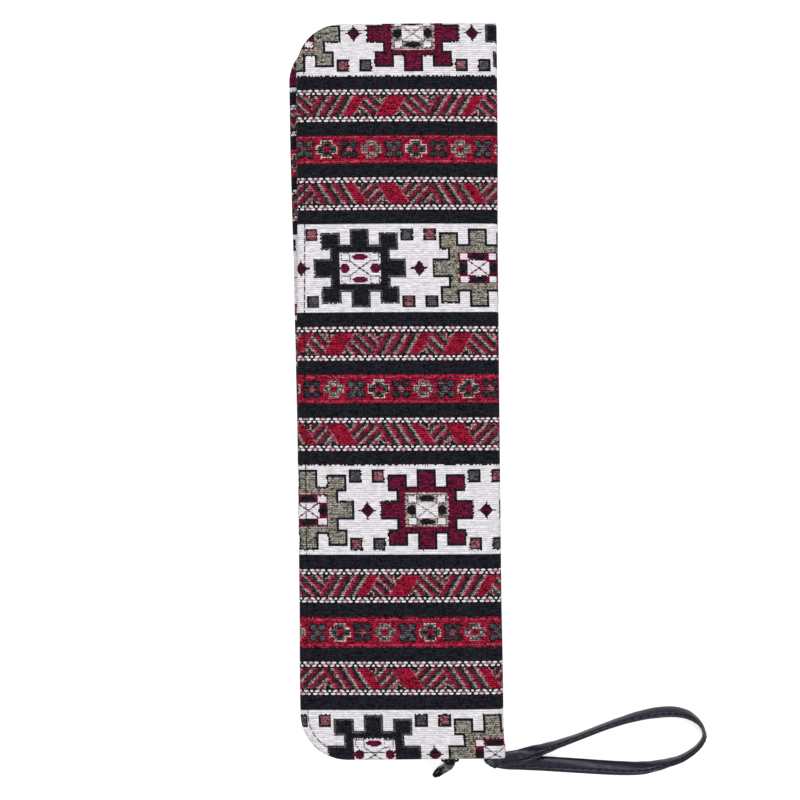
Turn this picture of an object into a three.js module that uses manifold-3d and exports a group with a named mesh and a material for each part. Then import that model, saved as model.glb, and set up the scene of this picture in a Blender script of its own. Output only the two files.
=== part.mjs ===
import * as THREE from 'three';
import { mergeGeometries, mergeVertices } from 'three/addons/utils/BufferGeometryUtils.js';
import Module from 'manifold-3d';

// A slim padded zip case for a duduk, lying shut on its back cover, with its wrist strap beside it.
// Millimetres. +Z goes up through the front cover, +Y to the top end and +X to the spine.
// The origin is the centre of the back cover's flat outer face.
// Depths are measured from a cover's outer face towards the zip, insets from the case's edge inwards.

const wasm = await Module();
wasm.setup();

// Case
const caseLength = 420;
const caseWidth = 114.5;
const caseThickness = 37;
const cornerRadius = 26;
const spineCornerRadius = 1.5;
const spineFoldRadius = 3;
const fitClearance = 0.3;
const cutOverrun = 2;

// Padded covers
const fabricThickness = 1.2;
const foamThickness = 2.6;
const liningThickness = 0.6;
const hemWidth = 7;
const spineHemWidth = 4;
const hemRoll = 2.6;
const stitchInset = 4.4;
const stitchWidth = 1.6;
const stitchDepth = 0.5;
const crownHeight = 1.6;
const rimLean = 6.3;
const leanLength = 240;

// Spine
const spineBoardThickness = 1.5;

// Zip
const tapeThickness = 0.8;
const tapeInset = 2;
const tapeFlangeWidth = 5;
const rowGap = 1.4;
const rowHeight = 2.4;
const beadHeight = 0.8;
const beadWidth = 2.4;
const toothPitch = 4;
const toothLength = 2;
const toothWidth = 2;
const stopLength = 3;
const stopRadius = 0.5;
const boxStopLength = 5.5;
const boxStopInset = 9;

// Slider
const sliderInset = 29.75;
const sliderLength = 12;
const plateThickness = 1.1;
const lipHeight = 0.9;
const mouthFlare = 0.6;
const noseTaper = 0.5;
const postThickness = 0.8;
const postLength = 3;
const bridgeLength = 10.4;
const bridgeHeight = 4.6;
const bridgeWidth = 1.8;
const bridgeThickness = 1.2;

// Pull
const pullLength = 20;
const pullWidth = 6;
const pullNeckWidth = 4;
const pullThickness = 1;
const pullRimHeight = 0.35;
const pullRimWidth = 0.8;
const eyeRadius = 2.6;
const eyeWall = 1.1;
const pullHeading = THREE.MathUtils.degToRad(231);
const pullDroop = THREE.MathUtils.degToRad(47);
const pullRoll = THREE.MathUtils.degToRad(42);

// Elastic bands
const bandLength = 66;
const bandWidth = 24;
const bandThickness = 1;
const bandArch = 1.6;
const bandSeam = 5;
const bandPlaceShare = 0.27;

// Wrist strap
const strapWidth = 8.5;
const strapThickness = 2.3;
const strapReach = 126;
const strapLift = 0.2;
const strapPlyGap = 0.2;
const strapEdgeRound = 0.5;
const strapRootLength = 18;
const strapPivotInset = 3.25;
const strapPivotDrop = 7.2;

// Leather tab that holds the strap's root
const tabThickness = 1.5;
const tabWidth = 9;
const tabPatchHeight = 8;
const tabReach = 4;

// Facets
const cornerSteps = 8;
const leanSteps = 6;
const foldSteps = 3;
const rollSteps = 3;
const eyeSteps = 7;
const strapSteps = 44;
const crownShares = [0.92, 0.6, 0.32, 0.12, 0];

// Route of the strap from its root, round the loop and back: along and across as shares of its
// reach, its turn about its own length in quarter turns, and its height in plies.
const strapRouteShares = [
  [0.111, -0.014, 0, 0],
  [0.212, -0.018, 0.06, 0],
  [0.305, -0.024, 0.1, 0],
  [0.398, -0.03, 0.16, 0],
  [0.49, -0.036, 0.24, 0],
  [0.583, -0.041, 0.3, 0],
  [0.675, -0.041, 0.42, 0],
  [0.744, -0.031, 0.6, 0],
  [0.814, -0.014, 0.74, 0],
  [0.861, 0, 0.8, 0],
  [0.907, 0.025, 0.86, 0],
  [0.95, 0.06, 0.92, 0],
  [0.975, 0.101, 0.98, 0],
  [0.971, 0.134, 1.08, 0],
  [0.958, 0.161, 1.19, 0],
  [0.934, 0.184, 1.28, 0],
  [0.899, 0.205, 1.37, 0],
  [0.84, 0.218, 1.43, 0],
  [0.765, 0.216, 1.43, 0],
  [0.678, 0.202, 1.34, 0],
  [0.585, 0.177, 1.24, 0],
  [0.491, 0.145, 1.19, 0],
  [0.398, 0.11, 1.18, 0],
  [0.304, 0.078, 1.25, 0.05],
  [0.234, 0.055, 1.4, 0.2],
  [0.175, 0.036, 1.66, 0.5],
  [0.135, 0.023, 1.88, 0.9],
  [0.111, 0.016, 2, 1],
];

// Sizes that follow
const halfLength = caseLength / 2;
const halfWidth = caseWidth / 2;
const halfThickness = caseThickness / 2;
const coverThickness = fabricThickness + foamThickness + liningThickness + 2 * fitClearance;
const padInset = hemWidth + fitClearance;
const spinePadInset = spineHemWidth + fitClearance;
const spineWallThickness = fabricThickness + fitClearance + spineBoardThickness;
const spineWallHalfLength = halfLength - tapeInset;
const zipEndX = halfWidth - spineWallThickness - fitClearance;
const rowReach = rowGap / 2 + rowHeight;
const tapeMiddle = tapeInset + tapeThickness / 2;
const sliderX = halfWidth - sliderInset;
const strapPivotX = halfWidth - strapPivotInset;
const cornerX = -halfWidth + cornerRadius;
const cornerY = halfLength - cornerRadius;

const materials = {
  kilim: new THREE.MeshStandardMaterial({ color: 0x9a1f35, roughness: 0.92, metalness: 0 }),
  foam: new THREE.MeshStandardMaterial({ color: 0xc9c6bd, roughness: 0.95, metalness: 0 }),
  lining: new THREE.MeshStandardMaterial({ color: 0x17161a, roughness: 0.95, metalness: 0 }),
  tape: new THREE.MeshStandardMaterial({ color: 0x141317, roughness: 0.9, metalness: 0 }),
  teeth: new THREE.MeshStandardMaterial({ color: 0x0e0e10, roughness: 0.35, metalness: 0 }),
  blackMetal: new THREE.MeshStandardMaterial({ color: 0x0c0c0f, roughness: 0.18, metalness: 0.6 }),
  elastic: new THREE.MeshStandardMaterial({ color: 0x1c1b1f, roughness: 0.85, metalness: 0 }),
  leather: new THREE.MeshStandardMaterial({ color: 0x16161c, roughness: 0.42, metalness: 0 }),
};

// Turns a closed geometry so that its faces point out, whichever way it was laid.
function facingOut(geometry) {
  const index = geometry.index.array;
  const place = geometry.attributes.position;
  const a = new THREE.Vector3();
  const b = new THREE.Vector3();
  const c = new THREE.Vector3();
  let volume = 0;
  for (let i = 0; i < index.length; i += 3) {
    a.fromBufferAttribute(place, index[i]);
    b.fromBufferAttribute(place, index[i + 1]);
    c.fromBufferAttribute(place, index[i + 2]);
    volume += a.dot(b.cross(c));
  }
  if (volume < 0) {
    for (let i = 0; i < index.length; i += 3) {
      [index[i + 1], index[i + 2]] = [index[i + 2], index[i + 1]];
    }
  }
  return geometry;
}

// A skin over rows of points. Rows close on themselves, and the first and last are capped.
function loft(rows, capShape) {
  const count = rows[0].length;
  const points = rows.flat();
  const index = [];
  for (let row = 0; row + 1 < rows.length; row += 1) {
    for (let i = 0; i < count; i += 1) {
      const next = (i + 1) % count;
      const low = row * count;
      const high = low + count;
      index.push(low + i, low + next, high + next, low + i, high + next, high + i);
    }
  }
  const last = (rows.length - 1) * count;
  for (const [start, row, atStart] of [[0, rows[0], true], [last, rows.at(-1), false]]) {
    const cap = capShape(row);
    const turned = atStart === THREE.ShapeUtils.area(cap) > 0;
    for (const [a, b, c] of THREE.ShapeUtils.triangulateShape(cap, [])) {
      index.push(...(turned ? [start + a, start + c, start + b] : [start + a, start + b, start + c]));
    }
  }
  const geometry = new THREE.BufferGeometry();
  geometry.setAttribute('position', new THREE.Float32BufferAttribute(points.flat(), 3));
  geometry.setIndex(index);
  return facingOut(geometry);
}

function toSolid(geometry) {
  const bare = geometry.clone();
  bare.deleteAttribute('normal');
  bare.deleteAttribute('uv');
  const merged = mergeVertices(bare);
  return new wasm.Manifold(new wasm.Mesh({
    numProp: 3,
    vertProperties: new Float32Array(merged.attributes.position.array),
    triVerts: new Uint32Array(merged.index.array),
  }));
}

function toGeometry(solid) {
  const mesh = solid.getMesh();
  const geometry = new THREE.BufferGeometry();
  geometry.setAttribute('position', new THREE.Float32BufferAttribute(mesh.vertProperties, 3));
  geometry.setIndex(new THREE.Uint32BufferAttribute(mesh.triVerts, 1));
  return geometry;
}

function joined(geometries) {
  return toGeometry(geometries.map(toSolid).reduce((whole, piece) => whole.add(piece)));
}

// A flat shape made thick along one axis, from start. Its own x and y lie along the other two.
function extrudeAlong(axis, shape, start, depth, curveSegments = cornerSteps) {
  const geometry = new THREE.ExtrudeGeometry(shape, { depth, bevelEnabled: false, curveSegments });
  const x = new THREE.Vector3(1, 0, 0);
  const y = new THREE.Vector3(0, 1, 0);
  const z = new THREE.Vector3(0, 0, 1);
  const turn = new THREE.Matrix4();
  if (axis === 'x') {
    turn.makeBasis(y, z, x);
    turn.setPosition(start, 0, 0);
  } else if (axis === 'y') {
    turn.makeBasis(x, z, y.clone().negate());
    turn.setPosition(0, start + depth, 0);
  } else {
    turn.setPosition(0, 0, start);
  }
  return geometry.applyMatrix4(turn);
}

function rectangle(lowX, lowY, highX, highY) {
  const corners = [[lowX, lowY], [highX, lowY], [highX, highY], [lowX, highY]];
  return new THREE.Shape(corners.map(([x, y]) => new THREE.Vector2(x, y)));
}

function roundedRectangle(lowX, lowY, highX, highY, radius) {
  const shape = new THREE.Shape();
  shape.moveTo(lowX + radius, lowY);
  shape.absarc(highX - radius, lowY + radius, radius, -Math.PI / 2, 0);
  shape.absarc(highX - radius, highY - radius, radius, 0, Math.PI / 2);
  shape.absarc(lowX + radius, highY - radius, radius, Math.PI / 2, Math.PI);
  shape.absarc(lowX + radius, lowY + radius, radius, Math.PI, 1.5 * Math.PI);
  return shape;
}

// How far the soft back cover leans out to the left at a place: not at all at the spine or in
// the lower half, and most at the upper corner.
function leanAt(x, y) {
  const rise = THREE.MathUtils.smoothstep(y, cornerY - leanLength, cornerY);
  return rimLean * rise * (halfWidth - x) / caseWidth;
}

// Stations round the plan outline. Each gives its place for an inset from the hemmed edges and
// one from the spine, and says whether it lies on a hemmed edge.
function hemmedStations() {
  const stations = [];
  for (let step = 0; step <= cornerSteps; step += 1) {
    const angle = Math.PI / 2 * (1 + step / cornerSteps);
    stations.push((hem) => [
      cornerX + (cornerRadius - hem) * Math.cos(angle),
      cornerY + (cornerRadius - hem) * Math.sin(angle),
    ]);
  }
  for (let step = 1; step < leanSteps; step += 1) {
    const y = cornerY - leanLength * step / (leanSteps - 1);
    stations.push((hem) => [-halfWidth + hem, y]);
  }
  for (let step = 0; step <= cornerSteps; step += 1) {
    const angle = Math.PI * (1 + step / cornerSteps / 2);
    stations.push((hem) => [
      cornerX + (cornerRadius - hem) * Math.cos(angle),
      -cornerY + (cornerRadius - hem) * Math.sin(angle),
    ]);
  }
  return stations.map((place) => ({ place, hemmed: true }));
}

function spineStations(side) {
  const stations = [];
  for (let step = 0; step <= foldSteps; step += 1) {
    const angle = side * Math.PI / 2 * (side > 0 ? step : foldSteps - step) / foldSteps;
    const place = (hem, spine) => [
      halfWidth - spine + spineCornerRadius * (Math.cos(angle) - 1),
      side * (halfLength - hem) + spineCornerRadius * (Math.sin(angle) - side),
    ];
    const first = side > 0 ? foldSteps : 0;
    stations.push({ place, hemmed: step === first });
  }
  return stations;
}

const coverStations = [...hemmedStations(), ...spineStations(-1), ...spineStations(1)];

function zipRun(endTop, endBottom) {
  return [
    { place: (hem) => [endTop, halfLength - hem] },
    ...hemmedStations(),
    { place: (hem) => [endBottom, hem - halfLength] },
  ];
}

// A closed body whose rows go right round the outline. A row has its insets, its depth, its
// share of the way in to the middle line, and the depth that it has on hemmed edges only.
function coverBody(rows, lean) {
  const core = halfLength - halfWidth;
  const points = rows.map((row) => coverStations.map(({ place, hemmed }) => {
    const [edgeX, edgeY] = place(row.hem, row.spine);
    const inward = row.inward ?? 0;
    const x = edgeX * (1 - inward);
    const y = THREE.MathUtils.lerp(edgeY, THREE.MathUtils.clamp(edgeY, -core, core), inward);
    const groove = hemmed ? row.groove ?? 0 : 0;
    return [x - (lean ? leanAt(x, y) : 0), y, row.depth + groove];
  }));
  return loft(points, (row) => row.map(([x, y]) => new THREE.Vector2(x, y)));
}

// A closed body along the zip's three sides, with one section of insets and depths. A point's
// lean share says how much of the back cover's lean it takes.
function zipBody(section, stations, lean) {
  const points = stations.map(({ place }) => section.map(([inset, depth, leanShare]) => {
    const [x, y] = place(inset);
    return [x - (lean ? leanShare * leanAt(x, y) : 0), y, depth];
  }));
  return loft(points, () => section.map(([inset, depth]) => new THREE.Vector2(inset, depth)));
}

function spineInsetAt(depth) {
  const left = Math.max(spineFoldRadius - depth, 0);
  return spineFoldRadius - Math.sqrt(spineFoldRadius ** 2 - left ** 2);
}

function crownAt(share, height) {
  return height * (1 - (1 - share) ** 2);
}

// Rows of a crowned face, from its middle out to the pad's edge.
function crownedRows(depth, height) {
  return crownShares.map((inward) => ({
    hem: padInset,
    spine: Math.max(spinePadInset, spineFoldRadius + fitClearance),
    inward,
    depth: depth - crownAt(inward, height),
  }));
}

// The woven fabric of a cover: its outer face, the rolled hem with its stitch groove, and the
// pocket inside the hem for the foam.
function coverFabric(height, lean) {
  const rows = crownedRows(0, height);
  for (const side of [1, 0, -1]) {
    rows.push({
      hem: stitchInset + side * stitchWidth / 2,
      spine: spineFoldRadius + fitClearance / 4 * (2 + side),
      depth: 0,
      groove: side === 0 ? stitchDepth : 0,
    });
  }
  for (let step = 0; step <= 2 * rollSteps; step += 1) {
    const angle = Math.PI / 2 * step / rollSteps;
    const depth = coverThickness / 2 * (1 - Math.cos(angle));
    rows.push({ hem: hemRoll * (1 - Math.sin(angle)), spine: spineInsetAt(depth), depth });
  }
  rows.push({ hem: hemWidth, spine: spineHemWidth, depth: coverThickness });
  rows.push({ hem: hemWidth, spine: spineHemWidth, depth: fabricThickness });
  rows.push(...crownedRows(fabricThickness, height).reverse());
  return coverBody(rows, lean);
}

function coverPad(outerDepth, innerDepth, height, lean) {
  const edge = { hem: padInset, spine: spinePadInset };
  const rows = height > 0 ? crownedRows(outerDepth, height) : [];
  rows.push({ ...edge, depth: outerDepth }, { ...edge, depth: innerDepth });
  return coverBody(rows, lean);
}

function spineWall(outerInset, thickness) {
  const shape = rectangle(
    halfWidth - outerInset - thickness,
    coverThickness + fitClearance,
    halfWidth - outerInset,
    halfThickness - fitClearance / 2,
  );
  return extrudeAlong('y', shape, -spineWallHalfLength, 2 * spineWallHalfLength);
}

// The stations of the zip tape's three lengths: one round each corner, and one down the long side.
function tapeLengths() {
  const stations = zipRun(zipEndX, zipEndX);
  const turn = cornerSteps + 2;
  const seam = (y) => ({ place: (hem) => [-halfWidth + hem, y] });
  const side = [
    seam(cornerY - fitClearance),
    ...stations.slice(turn, -turn),
    seam(fitClearance - cornerY),
  ];
  return [stations.slice(0, turn), side, stations.slice(-turn)];
}

// A length of the zip's tape: a wall just inside the hem's edge, turned in over the hem where it
// is sewn.
function zipTape(stations, lean) {
  const low = coverThickness + fitClearance;
  const high = halfThickness - rowReach - fitClearance;
  const inner = tapeInset + tapeThickness;
  const section = [
    [tapeInset, low, 1],
    [inner + tapeFlangeWidth, low, 1],
    [inner + tapeFlangeWidth, low + tapeThickness, 1],
    [inner, low + tapeThickness, 1],
    [inner, high, 0],
    [tapeInset, high, 0],
  ];
  return zipBody(section, stations, lean);
}

// Place and heading of a point on the zip's run, at a distance from the middle of its left side.
function runPoint(distance) {
  const side = Math.sign(distance);
  const radius = cornerRadius - tapeMiddle;
  const along = Math.abs(distance);
  const turned = THREE.MathUtils.clamp((along - cornerY) / radius, 0, Math.PI / 2);
  const beyond = Math.max(along - cornerY - radius * Math.PI / 2, 0);
  return {
    x: cornerX - radius * Math.cos(turned) + beyond,
    y: side * (Math.min(along, cornerY) + radius * Math.sin(turned)),
    heading: Math.PI / 2 - side * turned,
  };
}

function runDistance(x) {
  return cornerY + (cornerRadius - tapeMiddle) * Math.PI / 2 + x - cornerX;
}

// One row of the chain: a corded bead with a moulded tooth at each pitch, between the two ends
// on the upper and lower sides.
function zipTeeth(endTop, endBottom, phase) {
  const low = halfThickness - rowReach;
  const high = halfThickness - rowGap / 2;
  const near = tapeMiddle - beadWidth / 2;
  const far = tapeMiddle + beadWidth / 2;
  const beadTop = low + beadHeight;
  const section = [[near, low, 0], [far, low, 0], [far, beadTop, 0], [near, beadTop, 0]];
  const bead = zipBody(section, zipRun(endTop, endBottom), false);
  const toothLow = low + beadHeight / 2;
  const tooth = new THREE.BoxGeometry(toothLength, toothWidth, high - toothLow);
  const teeth = [];
  const first = -runDistance(endBottom) + toothLength * (1 + phase);
  for (let at = first; at < runDistance(endTop) - toothLength; at += toothPitch) {
    const { x, y, heading } = runPoint(at);
    const turn = new THREE.Matrix4().makeRotationZ(heading);
    turn.setPosition(x, y, (toothLow + high) / 2);
    teeth.push(tooth.clone().applyMatrix4(turn));
  }
  return joined([bead, mergeGeometries(teeth)]);
}

// A small crimped block on the chain, at one side of the case.
function chainStop(lowX, length, side, lowDepth, highDepth) {
  const shape = roundedRectangle(lowX, lowDepth, lowX + length, highDepth, stopRadius);
  const edge = side * (halfLength - tapeMiddle);
  return extrudeAlong('y', shape, edge - beadWidth / 2, beadWidth, foldSteps);
}

function elasticBand() {
  const low = coverThickness + fitClearance;
  const shape = new THREE.Shape();
  const end = bandLength / 2;
  const seam = end - bandSeam;
  shape.moveTo(-end, low);
  shape.lineTo(-seam, low);
  shape.quadraticCurveTo(0, low + 2 * bandArch, seam, low);
  shape.lineTo(end, low);
  shape.lineTo(end, low + bandThickness);
  shape.lineTo(seam, low + bandThickness);
  shape.quadraticCurveTo(0, low + 2 * bandArch + bandThickness, -seam, low + bandThickness);
  shape.lineTo(-end, low + bandThickness);
  return extrudeAlong('y', shape, -bandWidth / 2, bandWidth);
}

// The slider in its own frame: x along the chain, y inwards from the case's edge, z up, and its
// origin at the case's edge halfway up. Two lipped plates hold the chain between them, and the
// post at the wide mouth joins the plates between the rows.
function sliderBody() {
  const chainNear = tapeMiddle - beadWidth / 2 - fitClearance;
  const chainFar = tapeMiddle + beadWidth / 2 + fitClearance;
  const channel = rowReach + fitClearance;
  const reach = channel + lipHeight;
  const lipNear = tapeInset - fitClearance;
  const lipFar = tapeInset + tapeThickness + fitClearance;
  const plates = [[chainNear, -1, lipNear], [chainFar, 1, lipFar]].map(([face, side, lip]) => {
    const back = face + side * plateThickness;
    const section = [
      [back, -reach], [lip, -reach], [lip, -channel], [face, -channel],
      [face, channel], [lip, channel], [lip, reach], [back, reach],
    ];
    const shape = new THREE.Shape(section.map(([y, z]) => new THREE.Vector2(y, z)));
    return extrudeAlong('x', shape, -sliderLength / 2, sliderLength);
  });
  const end = sliderLength / 2;
  const post = extrudeAlong(
    'y',
    rectangle(end - noseTaper - postLength, -postThickness / 2, end - noseTaper, postThickness / 2),
    chainNear - plateThickness / 2,
    chainFar - chainNear + plateThickness,
  );
  const nose = reach - noseTaper;
  const outline = new THREE.Shape();
  outline.moveTo(-end + nose / 3, -nose);
  outline.quadraticCurveTo(-end, -nose, -end, -nose / 2);
  outline.lineTo(-end, nose / 2);
  outline.quadraticCurveTo(-end, nose, -end + nose / 3, nose);
  outline.lineTo(end - noseTaper, reach);
  outline.lineTo(end, reach - mouthFlare);
  outline.lineTo(end, mouthFlare);
  outline.lineTo(end - noseTaper, 0);
  outline.lineTo(end, -mouthFlare);
  outline.lineTo(end, -reach + mouthFlare);
  outline.lineTo(end - noseTaper, -reach);
  const trim = extrudeAlong(
    'y',
    outline,
    chainNear - plateThickness - cutOverrun,
    chainFar - chainNear + 2 * (plateThickness + cutOverrun),
    foldSteps,
  );
  const body = [...plates, post].map(toSolid).reduce((whole, piece) => whole.add(piece));
  const bridge = toSolid(sliderBridge(chainNear - plateThickness));
  return toGeometry(body.intersect(toSolid(trim)).add(bridge));
}

// The bridge over the outer plate, under which the pull's eye hangs.
function sliderBridge(plateFace) {
  const foot = plateFace + plateThickness / 2;
  const top = plateFace - bridgeHeight;
  const under = top + bridgeThickness;
  const end = bridgeLength / 2;
  const inner = end - bridgeThickness;
  const shoulder = bridgeHeight / 3;
  const shape = new THREE.Shape();
  shape.moveTo(-end, foot);
  shape.lineTo(-end, top + shoulder);
  shape.quadraticCurveTo(-end, top, -end + shoulder, top);
  shape.lineTo(end - shoulder, top);
  shape.quadraticCurveTo(end, top, end, top + shoulder);
  shape.lineTo(end, foot);
  shape.lineTo(inner, foot);
  shape.lineTo(inner, under);
  shape.lineTo(-inner, under);
  shape.lineTo(-inner, foot);
  return extrudeAlong('z', shape, -bridgeWidth / 2, bridgeWidth, foldSteps);
}

// The pull in its own frame: x from the eye to the tip, z out of its face. A waisted plate with
// a round eye, a rounded tip and a raised rim on both faces of the paddle.
function pullTab() {
  const ring = eyeRadius + eyeWall;
  const tip = pullLength - pullWidth / 2;
  const shoulder = pullLength / 2;
  const outline = new THREE.Shape();
  outline.moveTo(ring, -pullNeckWidth / 2);
  outline.lineTo(shoulder, -pullWidth / 2);
  outline.lineTo(tip, -pullWidth / 2);
  outline.absarc(tip, 0, pullWidth / 2, -Math.PI / 2, Math.PI / 2);
  outline.lineTo(shoulder, pullWidth / 2);
  outline.lineTo(ring, pullNeckWidth / 2);
  const spread = Math.asin(pullNeckWidth / 2 / ring);
  outline.absarc(0, 0, ring, spread, 2 * Math.PI - spread);
  const hole = new THREE.Path();
  hole.absarc(0, 0, eyeRadius, 0, 2 * Math.PI, true);
  outline.holes.push(hole);
  const plate = extrudeAlong('z', outline, -pullThickness / 2, pullThickness, eyeSteps);
  const rimHalf = pullWidth / 2 - pullRimWidth / 2;
  const rim = roundedRectangle(shoulder, -rimHalf, tip + rimHalf, rimHalf, rimHalf);
  const inset = rimHalf - pullRimWidth;
  const well = roundedRectangle(shoulder + pullRimWidth, -inset, tip + inset, inset, inset);
  rim.holes.push(new THREE.Path(well.getPoints(eyeSteps / 2)));
  const rimThickness = pullThickness + 2 * pullRimHeight;
  return joined([plate, extrudeAlong('z', rim, -rimThickness / 2, rimThickness, eyeSteps / 2)]);
}

// The strap in its own frame, at the middle of its sewn root: x away from the case's end.
// A ribbon goes out, round the loop on its edge and back, turning half a turn on the way, so
// that its two ends lie face to face in the root.
function wristStrap() {
  const places = strapRouteShares.map(([along, across]) => (
    new THREE.Vector3(along * strapReach, across * strapReach, 0)));
  const turns = strapRouteShares.map(([, , turn, plies]) => new THREE.Vector3(turn, plies, 0));
  const route = new THREE.CatmullRomCurve3(places);
  const turning = new THREE.CatmullRomCurve3(turns, false, 'catmullrom', 0);
  const halfWide = strapWidth / 2;
  const halfThick = strapThickness / 2;
  const round = strapEdgeRound;
  const section = [
    [halfWide - round, halfThick], [halfWide, halfThick - round],
    [halfWide, round - halfThick], [halfWide - round, -halfThick],
    [round - halfWide, -halfThick], [-halfWide, round - halfThick],
    [-halfWide, halfThick - round], [round - halfWide, halfThick],
  ];
  const rows = [];
  for (let step = 0; step <= strapSteps; step += 1) {
    const share = step / strapSteps;
    const place = route.getPoint(share);
    const tangent = route.getTangent(share);
    const left = new THREE.Vector3(-tangent.y, tangent.x, 0);
    const { x: quarterTurns, y: plies } = turning.getPoint(share);
    const angle = quarterTurns * Math.PI / 2;
    const sine = Math.sin(angle);
    const cosine = Math.cos(angle);
    const half = halfWide * Math.abs(sine) + halfThick * Math.abs(cosine);
    place.z = strapLift + plies * (strapThickness + strapPlyGap) + half;
    rows.push(section.map(([wide, thick]) => {
      const sideways = wide * cosine + thick * sine;
      return [
        place.x + left.x * sideways,
        place.y + left.y * sideways,
        place.z - wide * sine + thick * cosine,
      ];
    }));
  }
  const ribbon = loft(rows, () => section.map(([x, y]) => new THREE.Vector2(x, y)));
  const [, outAcross] = strapRouteShares[0];
  const [, backAcross] = strapRouteShares.at(-1);
  const outline = new THREE.Shape();
  outline.absarc(0, 0, halfWide, Math.PI / 2, 1.5 * Math.PI);
  outline.lineTo(strapRootLength, outAcross * strapReach - halfWide);
  outline.lineTo(strapRootLength, backAcross * strapReach + halfWide);
  const thickness = 2 * strapThickness + strapPlyGap;
  return joined([ribbon, extrudeAlong('z', outline, strapLift, thickness)]);
}

// The tab that holds the strap's root: a patch sewn to the end wall, and a tongue that comes
// out over the rolled hem and lies on the root.
function strapTab() {
  const wall = -halfLength + tapeInset - fitClearance;
  const tongueLow = strapLift + 2 * strapThickness + strapPlyGap + fitClearance;
  const tongueEnd = -halfLength - strapPivotDrop - tabReach;
  const hemTop = coverThickness + fitClearance;
  const shape = new THREE.Shape();
  shape.moveTo(wall, hemTop + tabPatchHeight);
  shape.lineTo(wall - tabThickness, hemTop + tabPatchHeight);
  shape.lineTo(wall - tabThickness, hemTop + 2 * tabThickness);
  shape.lineTo(-halfLength - tabThickness, tongueLow + tabThickness);
  shape.lineTo(tongueEnd, tongueLow + tabThickness);
  shape.lineTo(tongueEnd, tongueLow);
  shape.lineTo(-halfLength - tabThickness / 2, tongueLow);
  shape.lineTo(-halfLength + tapeInset - tabThickness, hemTop);
  shape.lineTo(wall, hemTop);
  const strip = extrudeAlong('x', shape, strapPivotX - tabWidth / 2, tabWidth);
  const outline = roundedRectangle(
    strapPivotX - tabWidth / 2,
    tongueEnd,
    strapPivotX + tabWidth / 2,
    wall + cutOverrun,
    tabReach,
  );
  const trim = extrudeAlong('z', outline, -cutOverrun, caseThickness);
  return toGeometry(toSolid(strip).intersect(toSolid(trim)));
}

function addPiece(group, name, geometry, material) {
  const mesh = new THREE.Mesh(geometry, material);
  mesh.name = name;
  group.add(mesh);
  return mesh;
}

// One half of the case, with its outer face on z = 0 and its zip edge up. The tape's lengths are
// named from the group's +y end.
function addCover(group, side, tapeNames, height, lean) {
  const foamDepth = fabricThickness + fitClearance;
  const liningDepth = coverThickness - liningThickness;
  const foamInner = foamDepth + foamThickness;
  addPiece(group, `${side}_cover`, coverFabric(height, lean), materials.kilim);
  addPiece(group, `${side}_foam`, coverPad(foamDepth, foamInner, height, lean), materials.foam);
  addPiece(group, `${side}_lining`, coverPad(liningDepth, coverThickness, 0, lean), materials.lining);
  addPiece(group, `${side}_spine`, spineWall(0, fabricThickness), materials.kilim);
  const boardInset = fabricThickness + fitClearance;
  addPiece(group, `${side}_spine_board`, spineWall(boardInset, spineBoardThickness), materials.lining);
  tapeLengths().forEach((stations, i) => {
    addPiece(group, `${side}_${tapeNames[i]}_tape`, zipTape(stations, lean), materials.tape);
  });
}

const rowLow = halfThickness - rowReach;
const rowHigh = halfThickness - rowGap / 2;
const boxStopX = zipEndX - boxStopInset;
const teethTopEnd = boxStopX - fitClearance;
const stopX = sliderX + sliderLength / 2 + fitClearance;
const sliderNoseX = sliderX - sliderLength / 2 - fitClearance;

const backHalf = new THREE.Group();
addCover(backHalf, 'back', ['upper', 'side', 'lower'], 0, true);
addPiece(backHalf, 'back_zip_teeth', zipTeeth(teethTopEnd, sliderX, 0), materials.teeth);
addPiece(backHalf, 'back_end_stop', chainStop(stopX, stopLength, -1, rowLow, rowHigh), materials.blackMetal);
const boxStop = chainStop(boxStopX, boxStopLength, 1, rowLow, caseThickness - rowLow);
addPiece(backHalf, 'zip_box_stop', boxStop, materials.blackMetal);
for (const [name, share] of [['upper_band', bandPlaceShare], ['lower_band', -bandPlaceShare]]) {
  addPiece(backHalf, name, elasticBand(), materials.elastic).position.y = share * caseLength;
}
addPiece(backHalf, 'strap_tab', strapTab(), materials.leather);

// The front half is a like half turned over about the x axis, so its ends change places.
const frontHalf = new THREE.Group();
frontHalf.rotation.x = Math.PI;
frontHalf.position.z = caseThickness;
addCover(frontHalf, 'front', ['lower', 'side', 'upper'], crownHeight, false);
addPiece(frontHalf, 'front_zip_teeth', zipTeeth(sliderNoseX, teethTopEnd, 1), materials.teeth);
addPiece(frontHalf, 'front_end_stop', chainStop(stopX, stopLength, 1, rowLow, rowHigh), materials.blackMetal);

const slider = new THREE.Group();
slider.position.set(sliderX, -halfLength, halfThickness);
addPiece(slider, 'zip_slider', sliderBody(), materials.blackMetal);

const pull = new THREE.Group();
const plateFace = tapeMiddle - beadWidth / 2 - fitClearance - plateThickness;
pull.position.y = plateFace - bridgeHeight + bridgeThickness / 2;
pull.rotation.set(pullRoll, pullDroop, pullHeading, 'ZYX');
addPiece(pull, 'pull_tab', pullTab(), materials.blackMetal);
slider.add(pull);

const strap = new THREE.Group();
strap.position.set(strapPivotX, -halfLength - strapPivotDrop, 0);
addPiece(strap, 'wrist_strap', wristStrap(), materials.leather);

const zipCase = new THREE.Group();
zipCase.add(backHalf, frontHalf, slider, strap);

export default zipCase;
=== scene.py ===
import functools
import math

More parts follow.
